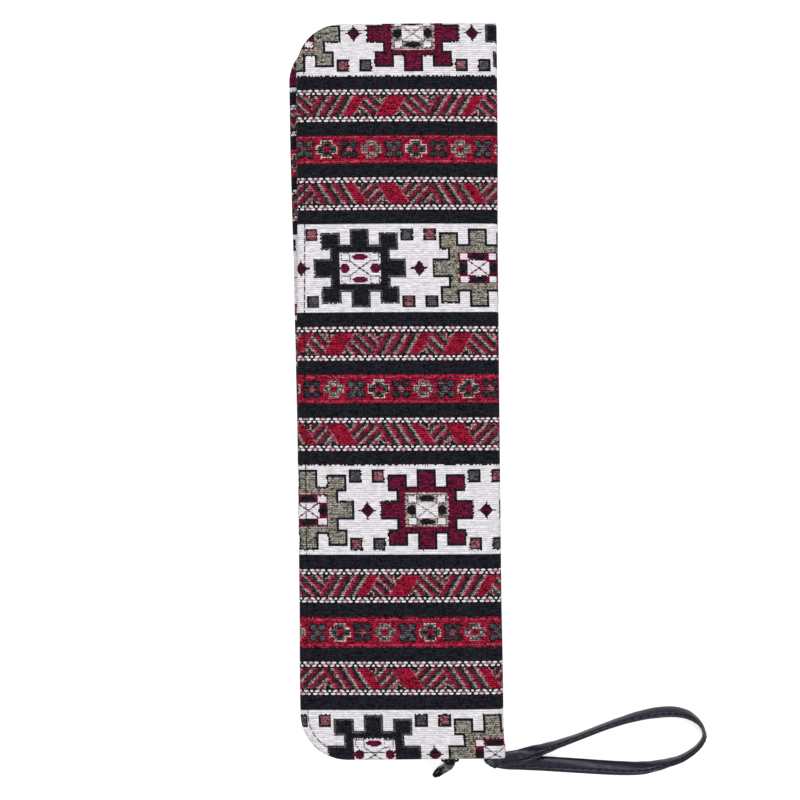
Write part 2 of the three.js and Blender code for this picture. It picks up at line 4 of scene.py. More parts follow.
import bmesh
import bpy
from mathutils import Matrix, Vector


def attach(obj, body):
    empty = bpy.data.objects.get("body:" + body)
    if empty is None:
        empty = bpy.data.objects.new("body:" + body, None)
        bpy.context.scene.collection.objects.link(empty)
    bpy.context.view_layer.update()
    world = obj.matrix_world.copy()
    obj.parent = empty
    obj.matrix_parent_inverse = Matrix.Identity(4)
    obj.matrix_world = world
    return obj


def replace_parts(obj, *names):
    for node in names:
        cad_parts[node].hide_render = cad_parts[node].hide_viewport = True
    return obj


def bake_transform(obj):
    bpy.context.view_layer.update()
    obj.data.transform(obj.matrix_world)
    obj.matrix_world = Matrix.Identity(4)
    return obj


# The looks of a slim padded zip case, made of striped kilim cloth, that lies shut on its back
# cover. Sizes are in millimetres, and MM turns them into metres. +Z goes up through the front
# cover, +Y to the top end and +X to the spine. Depths go from a cover's outer face towards the
# zip, and insets from the edge of the case inwards.

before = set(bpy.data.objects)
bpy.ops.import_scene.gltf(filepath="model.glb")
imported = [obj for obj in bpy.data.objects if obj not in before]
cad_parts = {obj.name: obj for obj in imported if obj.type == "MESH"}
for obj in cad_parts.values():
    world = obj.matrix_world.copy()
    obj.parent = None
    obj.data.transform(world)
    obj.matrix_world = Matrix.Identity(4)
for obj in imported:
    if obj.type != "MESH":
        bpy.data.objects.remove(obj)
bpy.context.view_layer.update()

MM = 0.001

# Case
CASE_LENGTH = 420
CASE_WIDTH = 114.5
CASE_THICKNESS = 37
CORNER_RADIUS = 26
SPINE_CORNER_RADIUS = 1.5
FOLD_RADIUS = 3
COVER_THICKNESS = 5
CLOTH_THICKNESS = 1.2
FIT = 0.3
HEM_WIDTH = 7
SPINE_HEM_WIDTH = 4
LINING_LAP = 1.6
HEM_ROLL = 2.6
STITCH_INSET = 4.4
GROOVE_DEPTH = 0.75
GROOVE_SPREAD = 0.45
CROWN_HEIGHT = 1.6
PAD_EDGE_RADIUS = 1.2
PAD_PUFF = 0.45
BOARD_THICKNESS = 1.5

# Ripples of the cloth begin and are full at these distances from the spine
RIPPLE_START = 6
RIPPLE_FULL = 22

# Zip
TAPE_INSET = 2
TAPE_THICKNESS = 0.8
TAPE_FLANGE = 5.6
TAPE_BOW = 0.35
ROW_GAP = 1.4
ROW_HEIGHT = 2.4
BEAD_HEIGHT = 0.8
BEAD_WIDTH = 2.4
TOOTH_PITCH = 4
TOOTH_LENGTH = 2
TOOTH_WIDTH = 2
SLIDER_X = 27.5
SLIDER_LENGTH = 12
BOX_STOP_INSET = 9
PULL_EYE = (27.5, -214.2, 18.5)
PULL_SQUARENESS = 0.7
PULL_ROUTE = [
    ((1.5, 3, 1.9), 0.5, 0.5), ((1.1, 2.2, 1.5), 2.2, 1.9), ((0, 0, 0), 3.3, 2.9),
    ((-0.7, -2.6, -2.6), 3.1, 2.3), ((-2.8, -5.7, -8), 2.8, 1.5), ((-4.9, -7.7, -11.9), 2.7, 1.3),
    ((-7, -9.5, -12.6), 2.4, 1.15), ((-8.9, -11, -13.15), 1.5, 0.9), ((-9.5, -11.5, -13.4), 0.4, 0.3),
]

# Elastic bands
BAND_LENGTH = 66
BAND_WIDTH = 24
BAND_THICKNESS = 1
BAND_ARCH = 1.6
BAND_SEAM = 5
BAND_PLACE = 113.4
BAND_RIBS = 11

# Wrist strap and its tab
STRAP_WIDTH = 8.5
STRAP_THICKNESS = 2.3
STRAP_REACH = 126
STRAP_LIFT = 0.2
STRAP_PLY_GAP = 0.2
STRAP_TAPER = 9
STRAP_PIVOT = (54, -217.2)
TAB_THICKNESS = 1.5
TAB_WIDTH = 9
TAB_PATCH_HEIGHT = 8
TAB_REACH = 4

# Sewing
TOPSTITCH_PITCH = 4.6
TOPSTITCH_LENGTH = 4.1
THREAD_RADIUS = 0.24
STRAP_STITCH_PITCH = 3.2
STRAP_STITCH_LENGTH = 2.2
STRAP_THREAD_RADIUS = 0.22
SEAM_INSET = 2.3
STITCH_SINK = 0.12

# Camera, as distances in millimetres and angles in degrees
CAMERA_FIELD = 28.356
CAMERA_PLACE = (0.388, -34.776)
CAMERA_HEIGHT = 900
CAMERA_TILT = 1.8
CAMERA_TURN = -0.553
SENSOR_WIDTH = 36

# Floor and surround
FLOOR_REACH = 6
FLOOR_GAP = 0.15
SURROUND_STRENGTH = 0.55

# Facets
CORNER_STEPS = 18
SIDE_STEPS = 162
END_STEPS = 38
SPINE_STEPS = 160
SPINE_LEVELS = 36
SPINE_LINING_STEPS = 240
FOLD_STEPS = 5
ROLL_STEPS = 7
STRAP_STEPS = 260
PULL_SIDES = 24
PULL_STEPS = 48
BEAD_SIDES = 10

HALF_LENGTH = CASE_LENGTH / 2
HALF_WIDTH = CASE_WIDTH / 2
HALF_THICKNESS = CASE_THICKNESS / 2
CORNER_X = CORNER_RADIUS - HALF_WIDTH
CORNER_Y = HALF_LENGTH - CORNER_RADIUS
PAD_INSET = HEM_WIDTH + FIT
ZIP_END_X = HALF_WIDTH - CLOTH_THICKNESS - FIT - BOARD_THICKNESS - FIT
ROW_REACH = ROW_GAP / 2 + ROW_HEIGHT
TAPE_MIDDLE = TAPE_INSET + TAPE_THICKNESS / 2
FOLD_START = HALF_WIDTH - FOLD_RADIUS
FOLD_LENGTH = FOLD_RADIUS * math.pi / 2

# Cloth of the case, in counts of its weave. Across is measured from the spine side of the middle
# line, and along from the middle of the case.
COUNT = 0.57
REPEAT = 240.4
SPACING = 118
PATTERN_SKEW = 0.0197
PATTERN_TILT = 0.0056
RED_CENTRE = -0.2
BLACK_MEDALLION_AT = -35
THICK_BAR_AT = 44.2
BLACK_CROSS_AT = -20.3
FLOWER_REPEAT = 88.9
RED_EDGE = 14.4
INNER_CORD = 31.4
SLANT_BAND = (45.3, 10.3)
BAR_SLOPE = 0.62
OUTER_CORD = 59.2
CORD_PITCH = 17.6
CORD_ROW = 1.45
CORD_START = {1: 0.86, -1: 0.36}
WHITE_EDGE = 76
WARP_PITCH = 1.2
WEFT_PITCH = 1.2
RIB_PITCH = 2.1
RIB_THREAD = 1.9

# Unevenness of the woven cloth: how far its pattern is pulled along the case, at shares of the
# length from the bottom end. 0.5 is not pulled, and 0 and 1 are pulled by half of the reach.
SLACK_REACH = 4
CLOTH_SLACK = [
    (0, 0.8), (0.06, 0.75), (0.11, 0.68), (0.16, 0.72), (0.22, 0.6), (0.28, 0.58), (0.33, 0.6),
    (0.39, 0.51), (0.44, 0.49), (0.5, 0.52), (0.54, 0.58), (0.6, 0.4), (0.65, 0.44), (0.71, 0.44),
    (0.76, 0.45), (0.82, 0.5), (0.87, 0.7), (0.92, 0.79), (0.97, 0.92), (1, 0.95),
]

# How far the pattern is drawn to the right, at shares of the length, in the same way
CLOTH_DRIFT = [
    (0, 0.53), (0.12, 0.49), (0.2, 0.53), (0.27, 0.56), (0.34, 0.63), (0.44, 0.65), (0.5, 0.64),
    (0.57, 0.58), (0.67, 0.5), (0.77, 0.42), (0.85, 0.4), (0.93, 0.41), (1, 0.42),
]

# Sewn sides, drawn out of line: places along the case, and how far the side is pulled right
OPEN_SIDE = [
    (-210, 0), (-185, -0.1), (-150, -0.5), (-110, -0.6), (-80, -0.4), (-40, -0.5), (0, -0.6),
    (35, -0.6), (70, -0.2), (120, 0), (210, 0),
]
SPINE_SIDE = [
    (-210, 1.3), (-203, 1.2), (-196, 0.4), (-150, 0.3), (-120, 0), (0, 0.1), (80, 0.3),
    (110, 0.5), (135, 0.9), (180, 1), (210, 1.1),
]

# How far the back cover's open side leans out at places along the case, and the share of that
# which the foot of its zip tape follows
BACK_LEAN = [
    (-210, 0.3), (-80, 1.5), (-40, 2.4), (0, 2.8), (30, 2.9), (70, 4.1), (100, 5), (143, 5.7),
    (184, 6.3), (210, 6.3),
]
TAPE_LEAN = 0.4


# Small helpers

def mix(low, high, share):
    return low + (high - low) * share


def clamped(value, low, high):
    return min(max(value, low), high)


def eased(share):
    return share * share * (3 - 2 * share)


def levels_between(low, high, count):
    """Evenly spaced values from low to high, in count steps."""
    return [low + (high - low) * step / count for step in range(count + 1)]


def round_angles(count):
    """Cosine and sine of evenly spaced angles round a circle."""
    angles = [2 * math.pi * k / count for k in range(count)]
    return [(math.cos(angle), math.sin(angle)) for angle in angles]


def curve_at(a, b, leave, arrive, t):
    """Place and heading at a share of the cubic curve from a to b, with its slopes at both."""
    c2, c3 = 3 * (b - a) - 2 * leave - arrive, 2 * (a - b) + leave + arrive
    heading = (leave + 2 * c2 * t + 3 * c3 * t * t).normalized()
    return a + leave * t + c2 * t * t + c3 * t ** 3, heading


# Materials

YARN = {
    "white": "#e4e0e5",
    "black": "#17171e",
    "maroon": "#56102a",
    "dark maroon": "#35101c",
    "red": "#7f1028",
    "crimson": "#74192f",
    "old rose": "#8a4654",
    "sage": "#7a766d",
    "rose": "#7c4a51",
    "beige": "#8c8079",
    "pale beige": "#a8978f",
    "charcoal": "#45444a",
    "coal": "#2f2c32",
    "grey": "#655d59",
    "mauve": "#6e4f5a",
    "bright": "#e6e0e2",
    "pale rose": "#cfa6ae",
    "rust": "#a02f45",
}


def linear(colour):
    """A yarn's name or a hex string, as the linear values that shaders take."""
    hex_colour = YARN.get(colour, colour)
    values = [int(hex_colour[i:i + 2], 16) / 255 for i in (1, 3, 5)]
    parts = [v / 12.92 if v <= 0.04045 else ((v + 0.055) / 1.055) ** 2.4 for v in values]
    return (*parts, 1.0)


def feed(inputs, values):
    """Signals, numbers and colours go to a node's inputs by name or number."""
    for name, value in values.items():
        socket = inputs[name]
        if isinstance(value, Signal):
            value.tree.links.new(value.socket, socket)
        else:
            socket.default_value = linear(value) if isinstance(value, str) else value


class Node:
    """A new shader node in a tree. Its outputs are read as signals, by name or number."""

    def __init__(self, tree, kind, values=None, **settings):
        self.node = tree.nodes.new(kind)
        for name, setting in settings.items():
            setattr(self.node, name, setting)
        feed(self.node.inputs, values or {})

    def __getitem__(self, name):
        return Signal(self.node.outputs[name])


def sums(operation, turned=False):
    """A method that lays one math node, with the signal as its last value if it is turned."""
    def method(self, *others):
        values = (*others, self) if turned else (self, *others)
        return Node(self.tree, "ShaderNodeMath", dict(enumerate(values)), operation=operation)[0]
    return method


class Signal:
    """What a shader node puts out. Sums with it lay more nodes in its tree."""

    def __init__(self, socket):
        self.socket = socket
        self.tree = socket.id_data

    __add__ = sums("ADD")
    __sub__ = sums("SUBTRACT")
    __rsub__ = sums("SUBTRACT", turned=True)
    __mul__ = sums("MULTIPLY")
    __truediv__ = sums("DIVIDE")
    __pow__ = sums("POWER")
    __lt__ = sums("LESS_THAN")
    __gt__ = sums("LESS_THAN", turned=True)
    __abs__ = sums("ABSOLUTE")
    near = sums("COMPARE")
    floor = sums("FLOOR")
    fract = sums("FRACT")
    sine = sums("SINE")
    lower = sums("MINIMUM")
    higher = sums("MAXIMUM")


def least(*values):
    return functools.reduce(Signal.lower, values)


def most(*values):
    return functools.reduce(Signal.higher, values)


def paint(share, under, over):
    """The colour over, laid on the colour under by share."""
    values = {"Factor": share, "A": under, "B": over}
    return Node(share.tree, "ShaderNodeMix", values, data_type="RGBA", clamp_factor=True)["Result"]


def layers(colour, *coats):
    """A colour with coats laid on it in turn, each a share and a colour."""
    for share, coat in coats:
        colour = paint(share, colour, coat)
    return colour


def shaded(colour, factor):
    """The colour made darker or lighter by a factor."""
    values = {0: colour, "Scale": factor}
    return Node(colour.tree, "ShaderNodeVectorMath", values, operation="SCALE")[0]


def brightness(colour):
    return Node(colour.tree, "ShaderNodeRGBToBW", {0: colour})[0]


def steps(value, *colours):
    """One colour for each equal part of 0 to 1."""
    made = Node(value.tree, "ShaderNodeValToRGB", {0: value})
    ramp = made.node.color_ramp
    ramp.interpolation = "CONSTANT"
    ramp.elements[0].color = linear(colours[0])
    ramp.elements[1].position = 1 / len(colours)
    ramp.elements[1].color = linear(colours[1])
    for i, colour in enumerate(colours[2:], 2):
        ramp.elements.new(i / len(colours)).color = linear(colour)
    return made["Color"]


def joined(x, y):
    return Node(x.tree, "ShaderNodeCombineXYZ", {0: x, 1: y})[0]


def split(vector):
    made = Node(vector.tree, "ShaderNodeSeparateXYZ", {0: vector})
    return made[0], made[1], made[2]


def cell_noise(x, y):
    values = {"Vector": joined(x, y)}
    return Node(x.tree, "ShaderNodeTexWhiteNoise", values, noise_dimensions="2D")


def bump(height, distance, strength=1.0):
    values = {"Distance": distance * MM, "Strength": strength, "Height": height}
    return Node(height.tree, "ShaderNodeBump", values)[0]


def new_group(name, inputs, outputs):
    """A shader node group with sockets of those names and kinds."""
    group = bpy.data.node_groups.new(name, "ShaderNodeTree")
    for way, sockets in (("INPUT", inputs), ("OUTPUT", outputs)):
        for socket_name, kind in sockets.items():
            group.interface.new_socket(socket_name, in_out=way, socket_type=f"NodeSocket{kind}")
    return group, Node(group, "NodeGroupInput"), Node(group, "NodeGroupOutput").node.inputs


def woven_ribs():
    """Weft ribs with warp threads over and under them, for every cloth of the case, and the shade
    painted into their valleys.
    """
    group, inlet, outlet = new_group(
        "woven ribs",
        {"Place": "Vector", "Rib Pitch": "Float", "Thread Pitch": "Float"},
        {"Height": "Float", "Shade": "Float"},
    )
    across, along, _ = split(inlet["Place"])
    rib = along / inlet["Rib Pitch"]
    row = rib.floor()
    rise = (rib.fract() * math.pi).sine()
    thread = across / inlet["Thread Pitch"] + row * 0.5
    bead = (thread.fract() * math.pi).sine()
    height = rise * (bead * 0.4 + 0.6)
    uneven = cell_noise(thread.floor(), row)["Value"] * 0.3 + 0.85
    # Shade is painted shade: it darkens a colour in the valleys between the ribs, by their height.
    feed(outlet, {"Height": height * uneven, "Shade": height ** 0.6 * 0.3 + 0.7})
    return group


def fine_grain():
    """Creases and pores of a smooth skin, for leather and lacquer."""
    group, inlet, outlet = new_group(
        "fine grain",
        {"Place": "Vector", "Scale": "Float"},
        {"Height": "Float", "Patches": "Float"},
    )
    place, scale = inlet["Place"], inlet["Scale"]
    values = {"Vector": place, "Scale": scale}
    cells = Node(group, "ShaderNodeTexVoronoi", values, feature="DISTANCE_TO_EDGE")
    patches = Node(group, "ShaderNodeTexNoise", {"Vector": place, "Scale": scale * 0.08})["Fac"]
    crease = least(cells["Distance"] * 4, 1)
    feed(outlet, {"Height": crease + patches * 0.5, "Patches": patches})
    return group


WOVEN_RIBS = woven_ribs()
FINE_GRAIN = fine_grain()


# Motifs of the cloth. Their sizes and places are in counts of its weave.

def block(x, y, half_width, half_height):
    """Distance from the edge of a block about the origin, below 0 inside it."""
    return most(abs(x) - half_width, abs(y) - half_height)


def oval(x, y, half_width, half_height):
    """1 inside an oval about the origin."""
    return (abs(x) * (1 / half_width)) ** 2 + (abs(y) * (1 / half_height)) ** 2 < 1


def medallion_band(across, row, height, above):
    """The pale band with its toothed medallions, stars and small squares."""
    place = across + row * (1.5 * SPACING) - BLACK_MEDALLION_AT
    number = (place * (1 / SPACING) + 0.5).floor()
    x = place - number * SPACING
    third = (number * (1 / 3) + 1 / 6).fract()
    side = abs(x)
    edge = least(
        block(x, height, 9, 39), block(side - 29, height - 27, 9.2, 7.8),
        block(x, height, 29.5, 23), block(x, height, 45.5, 8.8),
    )
    inner = block(x, height, 21, 16.8)
    corner = block(side - 14.3, height - 11.2, 3.9, 3)
    centre = block(x, height, 10.8, 7.7)
    cross = (abs(side * 0.72 - height) < 0.75) * (centre < 0)
    spots = most(oval(x, height - 11.4, 8, 3.1), oval(side - 15.2, height, 4.7, 5))
    star_x = abs(side - SPACING / 2)
    star = least(
        star_x * 1.1 + height - 7.6,
        block(star_x, height, 8.8, 0.7), block(star_x, height, 0.7, 8.6),
    )
    square = block(star_x - 11.4, height - 33.5, 6.2, 6.3)
    return layers(
        "white",
        (edge < 0.7, steps(third, "charcoal", "black", "black")),
        (edge < -1.6, steps(third, "black", "sage", "maroon")),
        (inner < 0, steps(third, "coal", "beige", "pale beige")),
        (inner < -1, steps(third, "white", "maroon", "beige")),
        (corner < 0.8, steps(third, "sage", "maroon", "grey")),
        (corner < 0, "white"),
        (centre < 0, "white"),
        (cross, steps(third, "charcoal", "maroon", "beige")),
        (spots, steps(third, "maroon", "black", "black")),
        (star < 0, "dark maroon"),
        (square < 0, "black"),
        (square < -1.9, paint(above.near(x > 0, 0.5), "rose", "charcoal")),
    )


def flower_band(colour, across, row, height):
    """Crosses and four-leaved flowers in a line on the red band."""
    place = across - BLACK_CROSS_AT - row * (FLOWER_REPEAT / 2)
    number = (place * (4 / FLOWER_REPEAT) + 0.5).floor()
    x = place - number * (FLOWER_REPEAT / 4)
    quarter = (number * (1 / 4) + 1 / 8).fract()
    is_cross = (quarter * 2).fract() < 0.5
    is_flower = 1 - is_cross
    edge = least(block(x, height, 5.6, 9.2), block(x, height, 10.4, 4.7))
    leaf_x, leaf_y = abs(x) - 4.6, height - 5
    leaf = most(block(leaf_x, leaf_y, 4.3, 4.3), abs(leaf_x) + abs(leaf_y) - 6.6)
    return layers(
        colour,
        (is_cross * (edge < 0), steps(quarter, "pale beige", "red", "rose", "red")),
        (is_cross * (edge < -1.2), steps(quarter, "black", "black", "beige", "charcoal")),
        (is_cross * oval(x, height, 4.1, 3.2), "red"),
        (is_cross * edge.near(-2.6, 0.7), "charcoal"),
        (is_flower * (leaf < 0), "black"),
        (is_flower * (leaf < -1.6), steps(quarter, "red", "coal", "red", "charcoal")),
        (is_flower * oval(x, height, 2.6, 3.6), steps(quarter, "red", "rose", "red", "charcoal")),
    )


def slant_band(colour, across, row, distance):
    """Slanting bars with finer stripes between them, some of them leaning the other way."""
    middle, reach = SLANT_BAND
    rise = distance - (middle - reach)
    place = across + row * (SPACING / 2) - THICK_BAR_AT
    leaning = place - rise * BAR_SLOPE
    along = (leaning * (1 / SPACING)).fract() * SPACING
    counter = most(along.near(33.5, 15), along > 96)
    level = (along - 58.4) * (10 / SPACING)
    crossing = (place + rise - 40.9) * (10 / SPACING)
    turned = counter * crossing + (1 - counter) * level
    rims = most(along.near(18.2, 0.8), along.near(95.3, 0.8), along.near(117.4, 0.7))
    foot = least(abs(along - 22.3), abs(along - 98.2)) + rise * 0.75
    cap = least(abs(along - 43), abs(along - 113.5)) + (2 * reach - rise) * 0.75
    tip = least(foot, cap)
    stripes = ("beige", "old rose", "crimson", "crimson", "maroon", "coal", "black", "grey")
    bars = layers(
        steps(turned.fract(), *stripes),
        (rims, "old rose"),
        (most(along < 17.6, along.near(89.9, 4.8)), "red"),
        (tip < 4.9, "beige"),
        (tip < 3.5, "black"),
    )
    return paint(distance.near(middle, reach), colour, bars)


def corded_line(colour, across, distance, middle, turn):
    """Two rows of pale grains round rosy ones, with a lone grain in a dark ring between groups."""
    beat = (across * (1 / CORD_PITCH) + CORD_START[turn]).fract()
    away = abs(beat - 0.5) * CORD_PITCH
    offset = (distance - middle) * turn
    ringed, plain = offset - CORD_ROW, offset + CORD_ROW
    slant = ringed + (away - 3.4) * 0.22
    grains = most(
        oval(away - 3.4, slant, 2.2, 1.05),
        oval(away - CORD_PITCH / 2, ringed, 1.4, 1.1),
        oval(away - 5.5, plain, 2.15, 1.1),
    )
    return layers(
        colour,
        (offset.near(0, 3.2), "black"),
        ((away < 6.2) * offset.near(-0.4, 1.7), "mauve"),
        (grains, "bright"),
        (oval(away, plain, 1.9, 1.1), "pale rose"),
    )


def uneven_yarn(colour, across, along, dye):
    """Uneven dye and stray threads, strong in the coloured yarns and faint in the white one."""
    pale = brightness(colour) > 0.5
    values = {"Scale": 1, "Detail": 1, "Vector": joined(across * 0.12, along * 0.47)}
    streak = Node(colour.tree, "ShaderNodeTexNoise", values, noise_dimensions="2D")["Fac"]
    uneven = (dye - 0.5) * (1.7 - pale * 1.5)
    drift = (streak - 0.5) * (1.9 - pale * 1.2)
    dyed = shaded(colour, most(uneven + drift + 1, 0.15))
    stray = (dye > 0.985) * (0.035 - pale * 0.035)
    return paint(stray, dyed, "beige")


def uneven_pull(share, table):
    """How far the cloth is pulled at a share of its length, in metres, along a bent line."""
    curve = Node(share.tree, "ShaderNodeFloatCurve", {"Value": share})
    mapping = curve.node.mapping
    bends = mapping.curves[0].points
    bends[0].location, bends[-1].location = table[0], table[-1]
    for place, pull in table[1:-1]:
        bends.new(place, pull)
    mapping.update()
    return (curve[0] - 0.5) * (SLACK_REACH * MM)


def kilim_pattern():
    """The cloth's yarn colours at a flat place on it, in metres, and the place in its weave."""
    group, inlet, outlet = new_group(
        "kilim pattern", {"Place": "Vector"}, {"Colour": "Color", "Cloth Place": "Vector"})
    u, v, _ = split(inlet["Place"])
    share = v * (1 / (CASE_LENGTH * MM)) + 0.5
    pulled = v + uneven_pull(share, CLOTH_SLACK)
    drawn = u - uneven_pull(share, CLOTH_DRIFT)
    along = (pulled + u * PATTERN_TILT) * (1 / (COUNT * MM))
    plain_across = drawn * (1 / (COUNT * MM)) + along * PATTERN_SKEW
    turns = (along - RED_CENTRE) * (1 / REPEAT)
    red_row = (turns + 0.5).floor()
    white_row = turns.floor()
    plain_distance = abs(turns - red_row) * REPEAT
    pick = (along * (1 / WEFT_PITCH)).floor()
    end = (plain_across * (1 / WARP_PITCH)).floor()
    slip_x, slip_y, dye = split(cell_noise(end, pick)["Color"])
    slip = 1 - (plain_distance > WHITE_EDGE) * 0.6
    across = (end + 0.5) * WARP_PITCH + (slip_x - 0.5) * 1.1 * slip
    row_turns = (pick + 0.5) * (WEFT_PITCH / REPEAT) - RED_CENTRE / REPEAT
    distance = abs(row_turns - red_row) * REPEAT + (slip_y - 0.5) * 0.7 * slip
    colour = paint(distance < RED_EDGE, "black", "red")
    colour = paint(distance.near(RED_EDGE - 2, 0.7), colour, "rust")
    flowers = flower_band(colour, across, red_row, distance)
    colour = paint(distance < RED_EDGE, colour, flowers)
    colour = slant_band(colour, across, red_row, distance)
    above = turns - white_row > 0.5
    medallions = medallion_band(across, white_row, REPEAT / 2 - distance, above)
    colour = paint(distance > WHITE_EDGE, colour, medallions)
    colour = uneven_yarn(colour, plain_across, along, dye)
    colour = corded_line(colour, plain_across, plain_distance, INNER_CORD, 1)
    colour = corded_line(colour, plain_across, plain_distance, OUTER_CORD, -1)
    feed(outlet, {"Colour": colour, "Cloth Place": joined(plain_across, along)})
    return group


def new_material(name, look, *sizes):
    """A material with the values that its look gives the inputs of its one Principled shader."""
    material = bpy.data.materials.new(name)
    material.use_nodes = True
    tree = material.node_tree
    feed(tree.nodes["Principled BSDF"].inputs, look(tree, *sizes))
    return material


def cloth_place(tree):
    return Node(tree, "ShaderNodeUVMap", uv_map="cloth")[0]


def ribs_at(tree, place, rib_pitch, thread_pitch):
    values = {"Place": place, "Rib Pitch": rib_pitch, "Thread Pitch": thread_pitch}
    return Node(tree, "ShaderNodeGroup", values, node_tree=WOVEN_RIBS)


def object_place(tree):
    return Node(tree, "ShaderNodeTexCoord")["Object"]


def grain_at(tree, scale):
    values = {"Place": object_place(tree), "Scale": scale}
    return Node(tree, "ShaderNodeGroup", values, node_tree=FINE_GRAIN)


def kilim_cloth(tree):
    pattern = Node(tree, "ShaderNodeGroup", {"Place": cloth_place(tree)}, node_tree=kilim_pattern())
    ribs = ribs_at(tree, pattern["Cloth Place"], RIB_PITCH, RIB_THREAD)
    # The ribs' Shade paints shade into the rib valleys and light onto the rib crowns, strongly in the
    # coloured yarns and faintly in the pale ones.
    pale = brightness(pattern["Colour"]) > 0.45
    depth = 3.9 - pale * 2.5
    shade = 1.42 - pale * 0.36 - (1 - ribs["Shade"]) * depth
    return {
        "Base Color": shaded(pattern["Colour"], shade), "Roughness": 0.88,
        "Specular IOR Level": 0.06, "Sheen Weight": 0.03, "Sheen Roughness": 0.5,
        "Normal": bump(ribs["Height"], 0.25),
    }


def plain_cloth(tree, dark, pale, rib_pitch, thread_pitch, depth):
    """One colour of fine woven cloth, for the lining, the zip tape and the elastic."""
    place = cloth_place(tree)
    ribs = ribs_at(tree, place, rib_pitch * MM, thread_pitch * MM)
    lint = Node(tree, "ShaderNodeTexNoise", {"Vector": place, "Scale": 900})["Fac"]
    # Lint noise gives the cloth a random tone, and the ribs' Shade paints shade into the valleys between
    # the ribs.
    lint_and_rib_shade = (lint * 0.7 + 0.45) * ribs["Shade"]
    return {
        "Base Color": paint(lint_and_rib_shade, dark, pale), "Roughness": 0.9, "Specular IOR Level": 0.15,
        "Sheen Weight": 0.05, "Normal": bump(ribs["Height"], depth),
    }


def black_leather(tree):
    grain = grain_at(tree, 1300)
    patches = grain["Patches"]
    return {
        "Base Color": paint(patches ** 2, "#06060b", "#14141f"), "Roughness": patches * 0.12 + 0.2,
        "Specular IOR Level": 0.36, "Specular Tint": (0.76, 0.78, 1, 1),
        "Normal": bump(grain["Height"], 0.04, 0.7),
    }


def black_lacquer(tree):
    patches = grain_at(tree, 500)["Patches"]
    edge = Node(tree, "ShaderNodeNewGeometry")["Pointiness"] - 0.6
    return {
        "Base Color": paint(most(edge, 0) * 6, "#030305", "#1c1c22"),
        "Roughness": patches * 0.06 + 0.05, "Specular IOR Level": 0.11,
        "Specular Tint": (0.84, 0.88, 1, 1), "Normal": bump(patches, 0.02, 0.4),
    }


def moulded_teeth(tree):
    patches = grain_at(tree, 800)["Patches"]
    return {
        "Base Color": paint(patches, "#101014", "#1d1c22"), "Roughness": patches * 0.2 + 0.26,
        "Normal": bump(patches, 0.03, 0.5),
    }


def sewing_thread(tree):
    """Twisted polyester thread: slanting strands that show at close range."""
    x, y, z = split(object_place(tree))
    # The grooves between the slanting strands are painted darker as shade, and lighter on the strands'
    # crowns, besides being bumped.
    twist = ((x + y + z) * (2 * math.pi / (0.4 * MM))).sine() * 0.5 + 0.5
    return {
        "Base Color": paint(twist, "#0e0d12", "#26242c"), "Roughness": 0.6,
        "Specular IOR Level": 0.12, "Normal": bump(twist, 0.05),
    }


KILIM = new_material("kilim cloth", kilim_cloth)
LINING = new_material("lining cloth", plain_cloth, "#0c0b0f", "#212027", 0.5, 0.5, 0.06)
TAPE = new_material("zip tape cloth", plain_cloth, "#09090c", "#1d1c22", 0.7, 0.45, 0.08)
ELASTIC = new_material("ribbed elastic", plain_cloth, "#0b0b0e", "#24232a", 0.6, 0.4, 0.08)
LEATHER = new_material("black leather", black_leather)
LACQUER = new_material("black lacquered metal", black_lacquer)
TEETH = new_material("moulded zip teeth", moulded_teeth)
THREAD = new_material("sewing thread", sewing_thread)


# Meshes

def new_object(name, data):
    """An object of the scene that holds a mesh, a lamp or a camera."""
    made = bpy.data.objects.new(name, data)
    bpy.context.scene.collection.objects.link(made)
    return made


def new_piece(name, points, faces, material, uvs=None, sharp_angle=40):
    """A mesh from points in millimetres. uvs are flat cloth places in millimetres, one a point."""
    mesh = bpy.data.meshes.new(name)
    mesh.from_pydata([[c * MM for c in p] for p in points], [], faces)
    mesh.validate()
    if uvs is not None:
        layer = mesh.uv_layers.new(name="cloth")
        for loop in mesh.loops:
            u, v = uvs[loop.vertex_index]
            layer.data[loop.index].uv = (u * MM, v * MM)
    form = bmesh.new()
    form.from_mesh(mesh)
    bmesh.ops.recalc_face_normals(form, faces=form.faces)
    for face in form.faces:
        face.smooth = True
    limit = math.radians(sharp_angle)
    for edge in form.edges:
        if len(edge.link_faces) == 2 and edge.calc_face_angle(0) > limit:
            edge.smooth = False
    form.to_mesh(mesh)
    form.free()
    mesh.materials.append(material)
    return new_object(name, mesh)


def ring_faces(rows, count, capped=True):
    """Quads over rows of points that close on themselves, with a face over each end."""
    faces = []
    for row in range(rows - 1):
        for i in range(count):
            following = (i + 1) % count
            low, high = row * count, (row + 1) * count
            faces.append((low + i, low + following, high + following, high + i))
    if capped:
        faces.append(tuple(range(count)))
        faces.append(tuple(range((rows - 1) * count, rows * count)))
    return faces


def joined_pieces(parts):
    """Points and faces of many small forms as one."""
    points, faces = [], []
    for part_points, part_faces in parts:
        start = len(points)
        points.extend(part_points)
        faces.extend(tuple(start + i for i in face) for face in part_faces)
    return points, faces


def ripple(x, y, reach, seed):
    """A soft unevenness of hand-sewn cloth, up to about reach."""
    return reach * (
        0.5 * math.sin(x / 17 + seed + 1.3 * math.sin(y / 53 + seed))
        + 0.35 * math.sin(y / 23 + 2.1 * seed + math.sin(x / 31))
        + 0.25 * math.sin(y / 11 - x / 19 + 3.7 * seed)
    )


# Covers and spine

def read_off(table, at):
    """The value at a place in a table of places and values, even between its entries."""
    for (low, a), (high, b) in zip(table, table[1:]):
        if at <= high:
            return mix(a, b, clamped((at - low) / (high - low), 0, 1))
    return table[-1][1]


